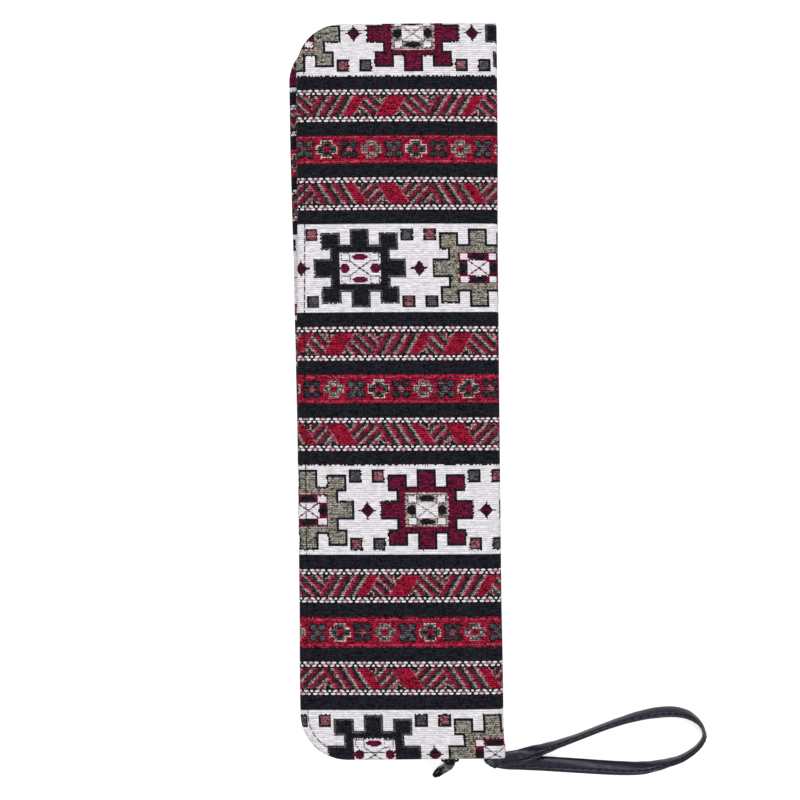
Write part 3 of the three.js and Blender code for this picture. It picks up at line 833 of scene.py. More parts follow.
def drawn_out(x, y):
    """How far a place on a cover is pulled to the right by its uneven sewing."""
    return mix(read_off(OPEN_SIDE, y), read_off(SPINE_SIDE, y), (x + HALF_WIDTH) / CASE_WIDTH)


def lean_at(x, y, front):
    """How far the back cover leans out to the left. The front cover doesn't."""
    return 0 if front else read_off(BACK_LEAN, y) * (HALF_WIDTH - x) / CASE_WIDTH


def faced(depth, front):
    """Height of a place at a depth from the outer face of one cover."""
    return CASE_THICKNESS - depth if front else depth


def sewn_x(x, y, front):
    """Where a place on a cover ends up, across the case."""
    return x + drawn_out(x, y) - lean_at(x, y, front)


def spine_side(side, steps):
    """Places round the small corner where the spine meets one end."""
    places = []
    for step in range(steps + 1):
        share = step / steps if side > 0 else 1 - step / steps
        angle = side * math.pi / 2 * share
        places.append(lambda hem, spine, a=angle, s=side: (
            HALF_WIDTH - spine + SPINE_CORNER_RADIUS * (math.cos(a) - 1),
            s * (HALF_LENGTH - hem) + SPINE_CORNER_RADIUS * (math.sin(a) - s),
        ))
    return places


def corner_places(start):
    """Places round one of the two big corners, from an angle on."""
    side = 1 if start < math.pi * 0.75 else -1
    return [
        lambda hem, spine, a=start + math.pi / 2 * step / CORNER_STEPS, s=side: (
            CORNER_X + (CORNER_RADIUS - hem) * math.cos(a),
            s * CORNER_Y + (CORNER_RADIUS - hem) * math.sin(a),
        )
        for step in range(CORNER_STEPS + 1)
    ]


def between(first, last, steps):
    """Places on the straight line between two places, without its ends."""
    def point(share):
        def place(hem, spine):
            a, b = first(hem, spine), last(hem, spine)
            return mix(a[0], b[0], share), mix(a[1], b[1], share)
        return place
    return [point(step / steps) for step in range(1, steps)]


def open_side():
    """Places from the top end round both big corners to the bottom end."""
    upper, lower = corner_places(math.pi / 2), corner_places(math.pi)
    return [*upper, *between(upper[-1], lower[0], SIDE_STEPS), *lower]


def cover_outline():
    """Places all round a cover, and whether each is on a hemmed edge."""
    side, foot, head = open_side(), spine_side(-1, FOLD_STEPS), spine_side(1, FOLD_STEPS)
    hemmed = [*side, *between(side[-1], foot[0], END_STEPS), foot[0]]
    plain = [*foot[1:], *between(foot[-1], head[0], SPINE_STEPS), *head[:-1]]
    rest = [head[-1], *between(head[-1], side[0], END_STEPS)]
    return [*((p, True) for p in hemmed), *((p, False) for p in plain), *((p, True) for p in rest)]


OUTLINE = cover_outline()
FACE_SHARES = [0.985, 0.94, 0.86, 0.76, 0.65, 0.54, 0.43, 0.33, 0.24, 0.16, 0.1, 0.05, 0.02, 0]
HEM_INSETS = [6.4, 5.7, 5.2, 4.9, 4.65, 4.4, 4.15, 3.9, 3.6, 3.2, 2.8]


def crown_at(share, height):
    return height * (1 - (1 - share) ** 2)


def cover_rows(height):
    """Rows of a cover's cloth from the middle of its face, over the hem, to its inner side."""
    rows = []
    fold = FOLD_RADIUS + FIT
    for share in FACE_SHARES:
        rows.append({
            "hem": PAD_INSET, "spine": fold, "inward": share, "depth": -crown_at(share, height),
        })
    for i, inset in enumerate(HEM_INSETS):
        rows.append({
            "hem": inset, "spine": mix(fold, FOLD_RADIUS, (i + 1) / len(HEM_INSETS)), "depth": 0,
            "groove": GROOVE_DEPTH * math.exp(-((inset - STITCH_INSET) / GROOVE_SPREAD) ** 2),
        })
    for step in range(2 * ROLL_STEPS + 1):
        angle = math.pi / 2 * step / ROLL_STEPS
        depth = COVER_THICKNESS / 2 * (1 - math.cos(angle))
        left = max(FOLD_RADIUS - depth, 0)
        turned = math.acos(left / FOLD_RADIUS)
        rows.append({
            "hem": HEM_ROLL * (1 - math.sin(angle)),
            "spine": FOLD_RADIUS - math.sqrt(FOLD_RADIUS ** 2 - left ** 2),
            "depth": depth,
            "flat_hem": HEM_ROLL * (1 - angle),
            "flat_spine": FOLD_RADIUS * (1 - turned) - max(depth - FOLD_RADIUS, 0),
        })
    return rows


def drawn_in(place, row):
    """A place on a row of a cover, drawn in towards the middle line of its face."""
    x, y = place(row["hem"], row["spine"])
    inward, core = row.get("inward", 0), HALF_LENGTH - HALF_WIDTH
    return x * (1 - inward), mix(y, clamped(y, -core, core), inward), inward


def cover_cloth(name, body, front):
    """The woven cloth of one cover, with rolled hems, a sewn groove and a crowned face."""
    rows = cover_rows(CROWN_HEIGHT if front else 0)
    inner = [
        {"hem": HEM_WIDTH, "spine": SPINE_HEM_WIDTH, "depth": depth}
        for depth in (COVER_THICKNESS, CLOTH_THICKNESS)
    ]
    inside = [
        {**row, "depth": row["depth"] + CLOTH_THICKNESS}
        for row in reversed(rows[:len(FACE_SHARES)])
    ]
    past = 2 * FOLD_START + 2 * FOLD_LENGTH + CASE_THICKNESS - 2 * FOLD_RADIUS
    points, uvs = [], []
    for row in [*rows, *inner, *inside]:
        for place, hemmed in OUTLINE:
            x, y, inward = drawn_in(place, row)
            flat = place(row.get("flat_hem", row["hem"]), row.get("flat_spine", row["spine"]))
            flat_x, flat_y = (x, y) if inward else flat
            depth = row["depth"] + (row.get("groove", 0) if hemmed else 0)
            from_start = (HALF_WIDTH - x - RIPPLE_START) / (RIPPLE_FULL - RIPPLE_START)
            loose = eased(clamped(from_start, 0, 1))
            if front:
                depth -= loose * ripple(x, y, 0.3, 1) * (1 if depth < CLOTH_THICKNESS else 0.3)
            edge_ripple = loose * ripple(y, x, 0.35, 2) * (1 - inward) ** 4
            z = faced(depth if front else max(depth, 0), front)
            points.append((sewn_x(x, y, front) + edge_ripple, y + 0.5 * edge_ripple, z))
            uvs.append((flat_x if front else past - flat_x, flat_y))
    faces = ring_faces(len(rows) + len(inner) + len(inside), len(OUTLINE))
    piece = new_piece(name, points, faces, KILIM, uvs)
    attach(piece, body)
    return piece


def fold(piece):
    """Bakes the transform of a piece of the spine into its mesh."""
    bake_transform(piece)


def spine_cloth():
    """The cloth that joins the covers at the spine."""
    stations = [place for place, hemmed in OUTLINE if not hemmed]
    first = next(i for i, (_, hemmed) in enumerate(OUTLINE) if not hemmed)
    stations = [OUTLINE[first - 1][0], *stations, OUTLINE[first + len(stations)][0]]
    low, high = COVER_THICKNESS, CASE_THICKNESS - COVER_THICKNESS
    levels = levels_between(low, high, SPINE_LEVELS)
    points, uvs = [], []
    section = [(0, z) for z in levels] + [(CLOTH_THICKNESS, z) for z in reversed(levels)]
    for place in stations:
        for inset, z in section:
            x, y = place(inset, inset)
            middle = math.sin(math.pi * (z - low) / (high - low))
            x -= middle * (0.25 + ripple(y, z, 0.2, 3))
            points.append((x + drawn_out(x, y), y, z))
            uvs.append((FOLD_START + FOLD_LENGTH + CASE_THICKNESS - FOLD_RADIUS - z, place(0, 0)[1]))
    faces = ring_faces(len(stations), len(section))
    piece = new_piece("spine_cloth", points, faces, KILIM, uvs)
    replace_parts(piece, "front_spine", "back_spine")
    fold(piece)


def spine_lining():
    """The lining strip behind the spine's cloth, over its two stiffeners and onto both hems."""
    low = COVER_THICKNESS + FIT
    high = CASE_THICKNESS - low
    outer = CLOTH_THICKNESS + FIT
    levels = levels_between(low, high, SPINE_LEVELS)
    inner = outer + BOARD_THICKNESS
    lap = SPINE_HEM_WIDTH + FIT + LINING_LAP
    foot = [(inner, 1.4), (inner + 0.15, 0.7), (inner + 0.6, 0.4), (lap - 0.1, 0.3), (lap, 0)]
    section = [(outer, z) for z in levels]
    section += [(inset, high - rise) for inset, rise in reversed(foot)]
    section += [(inner, z) for z in reversed(levels[3:-3])]
    section += [(inset, low + rise) for inset, rise in foot]
    reach = HALF_LENGTH - TAPE_INSET - FIT
    points, uvs = [], []
    for step in range(SPINE_LINING_STEPS + 1):
        y = reach * (2 * step / SPINE_LINING_STEPS - 1)
        free = clamped((reach - TAPE_THICKNESS - TAPE_FLANGE - abs(y)) / 0.5, 0, 1)
        for inset, z in section:
            inset = min(inset, inner) + max(inset - inner, 0) * free
            points.append((HALF_WIDTH - inset + drawn_out(HALF_WIDTH, y), y, z))
            uvs.append((y, z + inset))
    faces = ring_faces(SPINE_LINING_STEPS + 1, len(section))
    piece = new_piece("spine_lining", points, faces, LINING, uvs)
    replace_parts(piece, "front_spine_board", "back_spine_board")
    fold(piece)


def cover_lining(name, body, front):
    """The padded lining of one cover: foam under brushed cloth, pulled in at its sewn edge."""
    side = "front" if front else "back"
    height = CROWN_HEIGHT if front else 0
    edge = {"hem": PAD_INSET, "spine": SPINE_HEM_WIDTH + FIT}
    outer = CLOTH_THICKNESS + FIT
    rows = [{**edge, "inward": s, "depth": outer - crown_at(s, height)} for s in FACE_SHARES]
    for step in range(1, 6):
        angle = math.pi / 2 * step / 5
        inset = PAD_EDGE_RADIUS * (1 - math.cos(angle))
        rows.append({
            "hem": edge["hem"] + inset, "spine": edge["spine"] + inset,
            "depth": COVER_THICKNESS - PAD_EDGE_RADIUS * (1 - math.sin(angle)),
        })
    face = {key: inset + PAD_EDGE_RADIUS for key, inset in edge.items()}
    for share in reversed(FACE_SHARES[:-1]):
        puff = crown_at(min(share * 3, 1), PAD_PUFF)
        rows.append({**face, "inward": share, "depth": COVER_THICKNESS + puff})
    points, uvs = [], []
    for row in rows:
        for place, _ in OUTLINE:
            x, y, inward = drawn_in(place, row)
            depth = row["depth"] + ripple(x, y, 0.12, 5) * min(inward * 8, 1)
            points.append((sewn_x(x, y, front), y, faced(depth, front)))
            uvs.append((x, y))
    piece = new_piece(name, points, ring_faces(len(rows), len(OUTLINE)), LINING, uvs)
    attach(piece, body)
    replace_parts(piece, f"{side}_foam", f"{side}_lining")


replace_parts(cover_cloth("front_cover_cloth", "front_half", True), "front_cover")
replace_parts(cover_cloth("back_cover_cloth", "back_half", False), "back_cover")
spine_cloth()
spine_lining()
cover_lining("front_padding", "front_half", True)
cover_lining("back_padding", "back_half", False)


# Zip

def zip_run(end_top, end_bottom):
    """Places along the zip from the top end, round both corners, to the bottom end."""
    side = open_side()
    head = lambda hem, spine: (end_top, HALF_LENGTH - hem)
    foot = lambda hem, spine: (end_bottom, hem - HALF_LENGTH)
    return [
        head, *between(head, side[0], END_STEPS), *side,
        *between(side[-1], foot, END_STEPS), foot,
    ]


def zip_tape(name, body, front):
    """The woven tape that makes the side wall, turned in over the hem where it is sewn."""
    low = COVER_THICKNESS + FIT
    high = HALF_THICKNESS - ROW_REACH - FIT
    inner = TAPE_INSET + TAPE_THICKNESS
    flange = inner + TAPE_FLANGE
    top = low + TAPE_THICKNESS
    wall = levels_between(low, high, 8)
    bow = lambda z: TAPE_BOW * math.sin(math.pi * (z - low) / (high - low))
    section = [(TAPE_INSET + bow(z), z) for z in wall]
    section += [(inner + bow(z), z) for z in reversed(wall) if z > top + 0.2]
    section += [(inner + 0.25, top + 0.1), (inner + 0.8, top), (flange - 0.2, top), (flange, top - 0.3)]
    section += [(flange, low)]
    flats = [0]
    for (a, b), (c, d) in zip(section, section[1:]):
        flats.append(flats[-1] + math.hypot(c - a, d - b))
    stations = zip_run(ZIP_END_X, ZIP_END_X)
    points, uvs = [], []
    run, last = 0, None
    for place in stations:
        here = Vector(place(TAPE_INSET, 0))
        run += (here - last).length if last else 0
        last = here
        for (inset, depth), flat in zip(section, flats):
            x, y = place(inset, 0)
            share = 1 - clamped((depth - top) / (high - top), 0, 1)
            lean = lean_at(x, y, front) * share * TAPE_LEAN
            points.append((x - lean, y, faced(depth, front)))
            uvs.append((flat, run))
    piece = new_piece(name, points, ring_faces(len(stations), len(section)), TAPE, uvs)
    side = "front" if front else "back"
    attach(piece, body)
    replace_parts(piece, f"{side}_upper_tape", f"{side}_side_tape", f"{side}_lower_tape")


def run_point(distance, inset):
    """Place and heading on a line round the case, at a distance from its long side's middle."""
    side = 1 if distance > 0 else -1
    radius = CORNER_RADIUS - inset
    along = abs(distance)
    turned = clamped((along - CORNER_Y) / radius, 0, math.pi / 2)
    beyond = max(along - CORNER_Y - radius * math.pi / 2, 0)
    x = CORNER_X - radius * math.cos(turned) + beyond
    y = side * (min(along, CORNER_Y) + radius * math.sin(turned))
    return x, y, math.pi / 2 - side * turned


def run_distance(x):
    """How far from the middle of its long side the zip reaches a place on an end."""
    return CORNER_Y + (CORNER_RADIUS - TAPE_MIDDLE) * math.pi / 2 + x - CORNER_X


def tooth_form(low, high):
    """One moulded tooth: a waisted post with a rounded head, along x."""
    levels = [
        (low, 0.78, 0.8), (mix(low, high, 0.25), 0.82, 0.86), (mix(low, high, 0.45), 0.7, 0.9),
        (mix(low, high, 0.65), 0.98, 1), (mix(low, high, 0.85), 1, 0.98), (high, 0.72, 0.74),
    ]
    corner = 0.28
    points = []
    for z, wide, deep in levels:
        a, b = TOOTH_LENGTH / 2 * wide, TOOTH_WIDTH / 2 * deep
        points += [
            (a - corner, b, z), (corner - a, b, z), (-a, b - corner, z), (-a, corner - b, z),
            (corner - a, -b, z), (a - corner, -b, z), (a, corner - b, z), (a, b - corner, z),
        ]
    return points, ring_faces(len(levels), 8)


def zip_teeth(name, body, front):
    """One row of the chain: a corded bead with a moulded tooth at each pitch."""
    box_x = ZIP_END_X - BOX_STOP_INSET - FIT
    nose_x = SLIDER_X - SLIDER_LENGTH / 2 - FIT
    end_top, end_bottom = box_x, nose_x if front else SLIDER_X
    low = HALF_THICKNESS - ROW_REACH
    high = HALF_THICKNESS - ROW_GAP / 2
    bead_points = []
    stations = zip_run(end_top, end_bottom)
    for place in stations:
        for c, s in round_angles(BEAD_SIDES):
            x, y = place(TAPE_MIDDLE + (BEAD_WIDTH / 2 - 0.05) * c, 0)
            depth = low + BEAD_HEIGHT / 2 + (BEAD_HEIGHT / 2 + 0.05) * s
            bead_points.append((x, y, faced(depth, front)))
    parts = [(bead_points, ring_faces(len(stations), BEAD_SIDES))]
    form, faces = tooth_form(low + BEAD_HEIGHT / 2, high)
    start, end = (end_top, end_bottom) if front else (end_bottom, end_top)
    at = -run_distance(start) + (2 if front else 1) * TOOTH_LENGTH
    last = run_distance(end) - TOOTH_LENGTH
    while at < last:
        x, y, heading = run_point(at, TAPE_MIDDLE)
        y, heading = (-y, -heading) if front else (y, heading)
        c, s = math.cos(heading), math.sin(heading)
        turned = [(x + c * a - s * b, y + s * a + c * b, faced(z, front)) for a, b, z in form]
        parts.append((turned, faces))
        at += TOOTH_PITCH
    side = "front" if front else "back"
    piece = new_piece(name, *joined_pieces(parts), TEETH)
    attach(piece, body)
    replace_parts(piece, f"{side}_zip_teeth")


def eased_node(name, width, material):
    """A carried-over metal node with its edges eased and its finish."""
    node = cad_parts[name]
    node.data.materials.clear()
    node.data.materials.append(material)
    weld = node.modifiers.new("weld", "WELD")
    weld.merge_threshold = 0.01 * MM
    bevel = node.modifiers.new("eased edges", "BEVEL")
    bevel.width = width * MM
    bevel.segments = 3
    bevel.limit_method = "ANGLE"
    bevel.angle_limit = math.radians(35)
    bevel.harden_normals = True


def zip_pull():
    """The lacquered pull: a round head over the slider's bridge, and a tongue that curls out."""
    places = [Vector(place) for place, _, _ in PULL_ROUTE]
    points = []
    for step in range(PULL_STEPS + 1):
        at = step / PULL_STEPS * (len(places) - 1)
        i = min(int(at), len(places) - 2)
        t = at - i
        before, after = places[max(i - 1, 0)], places[min(i + 2, len(places) - 1)]
        a, b = places[i], places[i + 1]
        middle, ahead = curve_at(a, b, (b - before) / 2, (after - a) / 2, t)
        side = ahead.cross(Vector((0, 0, 1))).normalized()
        up = side.cross(ahead)
        wide = mix(PULL_ROUTE[i][1], PULL_ROUTE[i + 1][1], eased(t))
        thick = mix(PULL_ROUTE[i][2], PULL_ROUTE[i + 1][2], eased(t))
        for c, s in round_angles(PULL_SIDES):
            points.append(tuple(
                Vector(PULL_EYE) + middle
                + side * wide * math.copysign(abs(c) ** PULL_SQUARENESS, c)
                + up * thick * math.copysign(abs(s) ** PULL_SQUARENESS, s)))
    faces = ring_faces(PULL_STEPS + 1, PULL_SIDES)
    piece = new_piece("zip_pull", points, faces, LACQUER, sharp_angle=80)
    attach(piece, "pull")
    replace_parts(piece, "pull_tab")


zip_tape("front_tape", "front_half", True)
zip_tape("back_tape", "back_half", False)
zip_teeth("front_teeth", "front_half", True)
zip_teeth("back_teeth", "back_half", False)
eased_node("zip_slider", 0.18, LACQUER)
zip_pull()
eased_node("back_end_stop", 0.15, LACQUER)
eased_node("front_end_stop", 0.15, LACQUER)
eased_node("zip_box_stop", 0.2, LACQUER)


# Sewing

def stitch_form(length, radius):
    """A short stitch of thread along x, sunk at its ends."""
    points = []
    stations = [(-0.5, 0.25), (-0.42, 0.8), (-0.2, 1), (0.2, 1), (0.42, 0.8), (0.5, 0.25)]
    for share, wide in stations:
        dip = radius * 1.6 * (2 * abs(share)) ** 3
        for c, s in round_angles(6):
            points.append((share * length, radius * wide * c, radius * wide * s - dip))
    return points, ring_faces(len(stations), 6)


def laid(form, origin, ahead, up):
    """A form turned so that its x goes ahead and its z goes up."""
    points, faces = form
    ahead = Vector(ahead).normalized()
    side = Vector(up).cross(ahead).normalized()
    up = ahead.cross(side)
    origin = Vector(origin)
    return [tuple(origin + ahead * x + side * y + up * z) for x, y, z in points], faces


def topstitch(name, body, front):
    """The line of stitches that closes a cover's hem on three sides."""
    straight = FOLD_START - CORNER_X - 2
    half_run = CORNER_Y + (CORNER_RADIUS - STITCH_INSET) * math.pi / 2 + straight
    z = faced(GROOVE_DEPTH - STITCH_SINK, front)
    form = stitch_form(TOPSTITCH_LENGTH, THREAD_RADIUS)
    parts = []
    at = -half_run
    while at < half_run:
        x, y, heading = run_point(at, STITCH_INSET)
        parts.append(laid(
            form, (sewn_x(x, y, front), y, z), (math.cos(heading), math.sin(heading), 0),
            (0, 0, 1 if front else -1),
        ))
        at += TOPSTITCH_PITCH
    piece = new_piece(name, *joined_pieces(parts), THREAD)
    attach(piece, body)


topstitch("front_topstitch", "front_half", True)
topstitch("back_topstitch", "back_half", False)


# Elastic bands

def elastic_band(name, node, place_y):
    """A ribbed elastic band, arched a little between its two sewn ends."""
    low = COVER_THICKNESS + FIT
    half = BAND_LENGTH / 2
    seam = half - BAND_SEAM
    steps, ribs = 60, BAND_RIBS * 8
    uppers, lowers, uvs = [], [], []
    for i in range(steps + 1):
        x = half * (2 * i / steps - 1)
        arch = 0 if abs(x) > seam else BAND_ARCH * (1 - (x / seam) ** 2)
        sewn = 0.25 * math.exp(-((abs(x) - seam - 1.5) / 0.5) ** 2)
        bottom = low + arch + 0.04
        for k in range(ribs + 1):
            y = BAND_WIDTH * (k / ribs - 0.5)
            rib = 0.16 * abs(math.sin(math.pi * BAND_RIBS * k / ribs))
            uppers.append((x, place_y + y, bottom + BAND_THICKNESS - 0.1 + rib - sewn))
            lowers.append((x, place_y + y, bottom))
            uvs.append((x, y))
    count = ribs + 1
    total = len(uppers)
    faces = []
    for i in range(steps):
        for k in range(ribs):
            a = i * count + k
            faces.append((a, a + count, a + count + 1, a + 1))
            faces.append((total + a, total + a + 1, total + a + count + 1, total + a + count))
    rim = [i * count for i in range(steps + 1)]
    rim += [steps * count + k for k in range(1, ribs + 1)]
    rim += [i * count + ribs for i in range(steps - 1, -1, -1)]
    rim += range(ribs - 1, 0, -1)
    for a, b in zip(rim, rim[1:] + rim[:1]):
        faces.append((a, b, total + b, total + a))
    piece = new_piece(name, uppers + lowers, faces, ELASTIC, uvs + uvs, sharp_angle=60)
    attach(piece, "back_half")
    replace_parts(piece, node)


elastic_band("upper_elastic", "upper_band", BAND_PLACE)
elastic_band("lower_elastic", "lower_band", -BAND_PLACE)


# Wrist strap

STRAP_ROUTE = [
    (-0.048, 0.023, 0, 0), (-0.02, 0.011, 0, 0), (0.013, -0.003, 0, 0), (0.055, -0.011, 0, 0),
    (0.111, -0.014, 0, 0), (0.212, -0.018, 0.06, 0), (0.305, -0.024, 0.1, 0),
    (0.398, -0.03, 0.16, 0), (0.49, -0.036, 0.24, 0), (0.583, -0.041, 0.3, 0),
    (0.675, -0.041, 0.42, 0), (0.744, -0.031, 0.6, 0), (0.814, -0.014, 0.74, 0),
    (0.861, 0, 0.8, 0), (0.907, 0.025, 0.86, 0), (0.95, 0.06, 0.92, 0), (0.975, 0.101, 0.98, 0),
    (0.971, 0.134, 1.08, 0), (0.958, 0.161, 1.19, 0), (0.934, 0.184, 1.28, 0),
    (0.899, 0.205, 1.37, 0), (0.84, 0.218, 1.43, 0), (0.765, 0.216, 1.43, 0),
    (0.678, 0.202, 1.34, 0), (0.585, 0.177, 1.24, 0), (0.491, 0.145, 1.19, 0),
    (0.398, 0.11, 1.18, 0), (0.304, 0.078, 1.25, 0.05), (0.234, 0.055, 1.4, 0.2),
    (0.175, 0.036, 1.66, 0.5), (0.135, 0.023, 1.88, 0.9), (0.111, 0.016, 2, 1),
    (0.055, 0.008, 2, 1), (0.013, 0.006, 2, 1), (-0.02, 0.013, 2, 1), (-0.048, 0.023, 2, 1),
]


def strap_point(share):
    """Place, heading, quarter turns and plies of the strap at a share of its length."""
    last = len(STRAP_ROUTE) - 1
    at = share * last
    i = min(int(at), last - 1)
    t = at - i
    place = [Vector((a * STRAP_REACH, b * STRAP_REACH)) for a, b, _, _ in STRAP_ROUTE]
    p1, p2 = place[i], place[i + 1]
    p0 = place[i - 1] if i > 0 else 2 * p1 - p2
    p3 = place[i + 2] if i + 2 <= last else 2 * p2 - p1
    d0, d1, d2 = ((b - a).length ** 0.5 for a, b in ((p0, p1), (p1, p2), (p2, p3)))
    t1 = ((p1 - p0) / d0 - (p2 - p0) / (d0 + d1) + (p2 - p1) / d1) * d1
    t2 = ((p2 - p1) / d1 - (p3 - p1) / (d1 + d2) + (p3 - p2) / d2) * d1
    point, heading = curve_at(p1, p2, t1, t2, t)
    turn = mix(STRAP_ROUTE[i][2], STRAP_ROUTE[i + 1][2], eased(t))
    plies = mix(STRAP_ROUTE[i][3], STRAP_ROUTE[i + 1][3], eased(t))
    return point, heading, turn, plies


def strap_frame(share):
    """Middle of the strap at a share of its length, with its heading, width and face directions."""
    point, heading, turn, plies = strap_point(share)
    angle = turn * math.pi / 2
    c, s = math.cos(angle), math.sin(angle)
    half = STRAP_WIDTH / 2 * abs(s) + STRAP_THICKNESS / 2 * abs(c)
    z = STRAP_LIFT + plies * (STRAP_THICKNESS + STRAP_PLY_GAP) + half
    left = Vector((-heading.y, heading.x, 0))
    middle = Vector((point.x + STRAP_PIVOT[0], point.y + STRAP_PIVOT[1], z))
    ahead = Vector((heading.x, heading.y, 0))
    return middle, ahead, left * c - Vector((0, 0, s)), left * s + Vector((0, 0, c))


SEAM_OFFSET = SEAM_INSET - STRAP_WIDTH / 2
STRAP_LENGTH = sum(
    (strap_frame((i + 1) / 400)[0] - strap_frame(i / 400)[0]).length for i in range(400))


def strap_section():
    """The strap's section: two folded plies, pinched along a seam near one edge."""
    half_wide, half_thick = STRAP_WIDTH / 2, STRAP_THICKNESS / 2
    upper = []
    for k in range(31):
        wide = half_wide * math.cos(math.pi * k / 30)
        share = abs(wide) / half_wide
        thick = half_thick * (1 - share ** 2.2) ** 0.72
        pinch = 0.42 * math.exp(-((wide - SEAM_OFFSET) / 0.5) ** 2)
        upper.append((wide, max(thick - pinch, 0)))
    lower = [(wide, -thick) for wide, thick in reversed(upper[1:-1])]
    return upper + lower


def end_taper(share):
    """How full the strap's width is at a share of its length: it narrows at its two sewn ends."""
    from_end = min(share, 1 - share) * STRAP_LENGTH
    return max(1 - (1 - min(from_end / STRAP_TAPER, 1)) ** 2, 0.04) ** 0.5


def wrist_strap():
    """The leather ribbon, from its root round the loop and back."""
    section = strap_section()
    points = []
    for step in range(STRAP_STEPS + 1):
        middle, _, wide_way, thick_way = strap_frame(step / STRAP_STEPS)
        taper = end_taper(step / STRAP_STEPS)
        for wide, thick in section:
            points.append(tuple(middle + wide_way * wide * taper + thick_way * thick * taper ** 0.3))
    faces = ring_faces(STRAP_STEPS + 1, len(section))
    piece = new_piece("strap_loop", points, faces, LEATHER, sharp_angle=70)
    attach(piece, "strap")
    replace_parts(piece, "wrist_strap")


def strap_stitches():
    """Stitches in the seam, on both faces of the strap."""
    form = stitch_form(STRAP_STITCH_LENGTH, STRAP_THREAD_RADIUS)
    parts = []
    count = int(STRAP_LENGTH / STRAP_STITCH_PITCH)
    for i in range(count):
        share = (i + 0.5) / count
        if end_taper(share) < 0.97:
            continue
        middle, ahead, wide_way, thick_way = strap_frame(share)
        for face in (1, -1):
            origin = middle + wide_way * SEAM_OFFSET + thick_way * face * (STRAP_THICKNESS / 2 - 0.2)
            parts.append(laid(form, origin, ahead, thick_way * face))
    piece = new_piece("strap_stitches", *joined_pieces(parts), THREAD)
    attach(piece, "strap")


def strap_tab():
    """The leather tab: a patch sewn to the end wall, and a tongue over the hem and the root."""
    wall = -HALF_LENGTH + TAPE_INSET - FIT
    hem_top = COVER_THICKNESS + FIT
    low = STRAP_LIFT + 2 * STRAP_THICKNESS + STRAP_PLY_GAP + FIT
    end = STRAP_PIVOT[1] - TAB_REACH
    path = [
        (wall, hem_top + TAB_PATCH_HEIGHT), (wall, hem_top + 4), (wall, hem_top + 1.6),
        (wall - 0.6, hem_top + 0.5), (-HALF_LENGTH - 0.2, low + 0.2),
        (-HALF_LENGTH - 2, low), (-HALF_LENGTH - 5, low), (end, low),
    ]
    section = [
        (-1, 0.35), (-0.93, 0), (0.93, 0), (1, 0.35), (1, 1.1), (0.9, 1.42), (0, TAB_THICKNESS),
        (-0.9, 1.42), (-1, 1.1),
    ]
    half = TAB_WIDTH / 2
    points, fine = [], []
    for (y, z), (next_y, next_z) in zip(path, path[1:]):
        fine += [(mix(y, next_y, k / 4), mix(z, next_z, k / 4)) for k in range(4)]
    fine.append(path[-1])
    for i, (y, z) in enumerate(fine):
        before, after = fine[max(i - 1, 0)], fine[min(i + 1, len(fine) - 1)]
        ahead = Vector((after[0] - before[0], after[1] - before[1])).normalized()
        out = Vector((-ahead.y, ahead.x))
        out = out if out.x < 0 or out.y > 0 else -out
        from_end = min(y - end, half)
        narrow = half - math.sqrt(max(half ** 2 - (half - clamped(from_end, 0, half)) ** 2, 0))
        wide = max(half - narrow, 0.5)
        for across, lift in section:
            points.append((STRAP_PIVOT[0] + across * wide, y + out.x * lift, z + out.y * lift))
    faces = ring_faces(len(fine), len(section))
    piece = new_piece("leather_tab", points, faces, LEATHER, sharp_angle=60)
    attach(piece, "back_half")
    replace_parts(piece, "strap_tab")


wrist_strap()
strap_stitches()
strap_tab()


# Floor, light and camera

def seen_straight(tree):
    """1 for what the camera sees itself, in a glossy reflection or through something clear."""
    path = Node(tree, "ShaderNodeLightPath")
    return most(path["Is Camera Ray"], path["Is Glossy Ray"], path["Is Transmission Ray"])


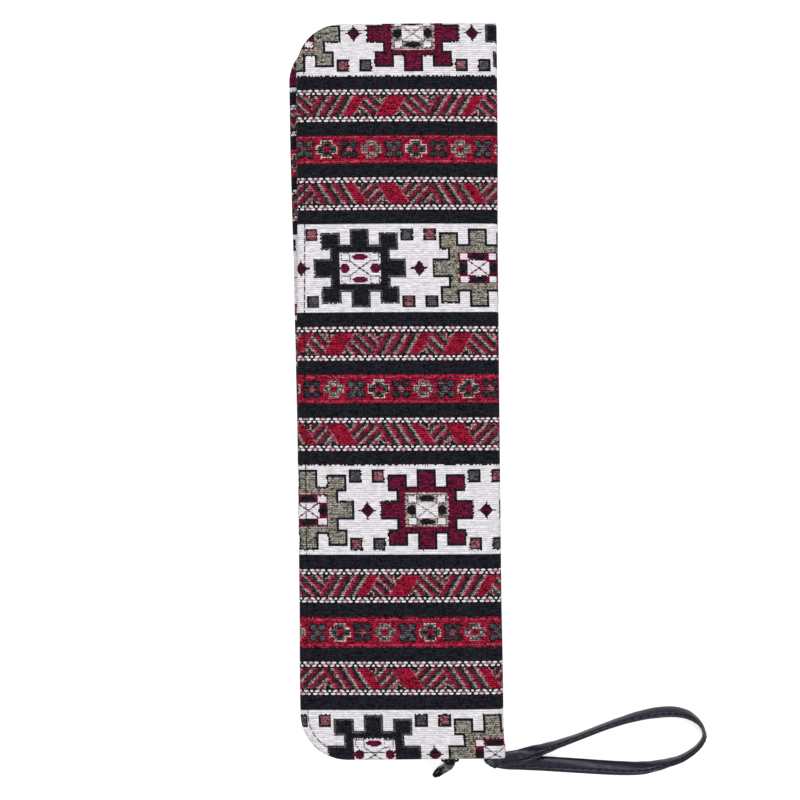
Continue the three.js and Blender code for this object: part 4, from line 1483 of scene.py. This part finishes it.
def pale_floor(tree):
    return {
        "Base Color": (0.86, 0.86, 0.87, 1), "Roughness": 0.9, "Specular IOR Level": 0.1,
        "Emission Color": paint(seen_straight(tree), (0, 0, 0, 1), (1, 1, 1, 1)),
        "Emission Strength": SURROUND_STRENGTH,
    }


def studio():
    """A pale floor that keeps the shadow, one long and two small lamps and a white surround."""
    floor_mesh = bpy.data.meshes.new("floor")
    reach, level = FLOOR_REACH, -FLOOR_GAP * MM
    floor_mesh.from_pydata(
        [(x, y, level) for x, y in ((-reach, -reach), (reach, -reach), (reach, reach), (-reach, reach))],
        [], [(0, 1, 2, 3)])
    floor = new_object("floor", floor_mesh)
    floor_mesh.materials.append(new_material("pale floor", pale_floor))

    world = bpy.data.worlds.new("white surround")
    bpy.context.scene.world = world
    world.use_nodes = True
    background = world.node_tree.nodes["Background"].inputs
    seen = seen_straight(world.node_tree)
    strength = seen * (1 - SURROUND_STRENGTH) + SURROUND_STRENGTH
    feed(background, {"Color": (1, 1, 1, 1), "Strength": strength})

    for name, place, length, width, power in (
        ("long lamp", (0.02, 0.72, 1.4), 0.8, 0.14, 9.5),
        ("near lamp", (-0.55, -0.75, 1.25), 0.2, 0.2, 4.5),
        ("side lamp", (0.85, -0.2, 1.25), 0.3, 0.3, 2.5),
    ):
        lamp = bpy.data.lights.new(name, "AREA")
        lamp.shape = "ELLIPSE"
        lamp.size = length
        lamp.size_y = width
        lamp.energy = power
        holder = new_object(name, lamp)
        holder.location = place
        holder.rotation_mode = "QUATERNION"
        holder.rotation_quaternion = (-Vector(place)).to_track_quat("-Z", "Y")


def photo_camera():
    camera = bpy.data.cameras.new("camera")
    camera.sensor_fit = "HORIZONTAL"
    camera.sensor_width = SENSOR_WIDTH
    camera.lens = SENSOR_WIDTH / 2 / math.tan(math.radians(CAMERA_FIELD) / 2)
    camera.clip_start = 0.01
    camera.clip_end = 50
    holder = new_object("camera", camera)
    x, y = CAMERA_PLACE
    holder.location = (x * MM, y * MM, (CAMERA_HEIGHT + CASE_THICKNESS) * MM)
    holder.rotation_euler = (math.radians(CAMERA_TILT), 0, math.radians(CAMERA_TURN))
    bpy.context.scene.camera = holder


studio()
photo_camera()
bpy.context.scene.view_settings.view_transform = "Standard"
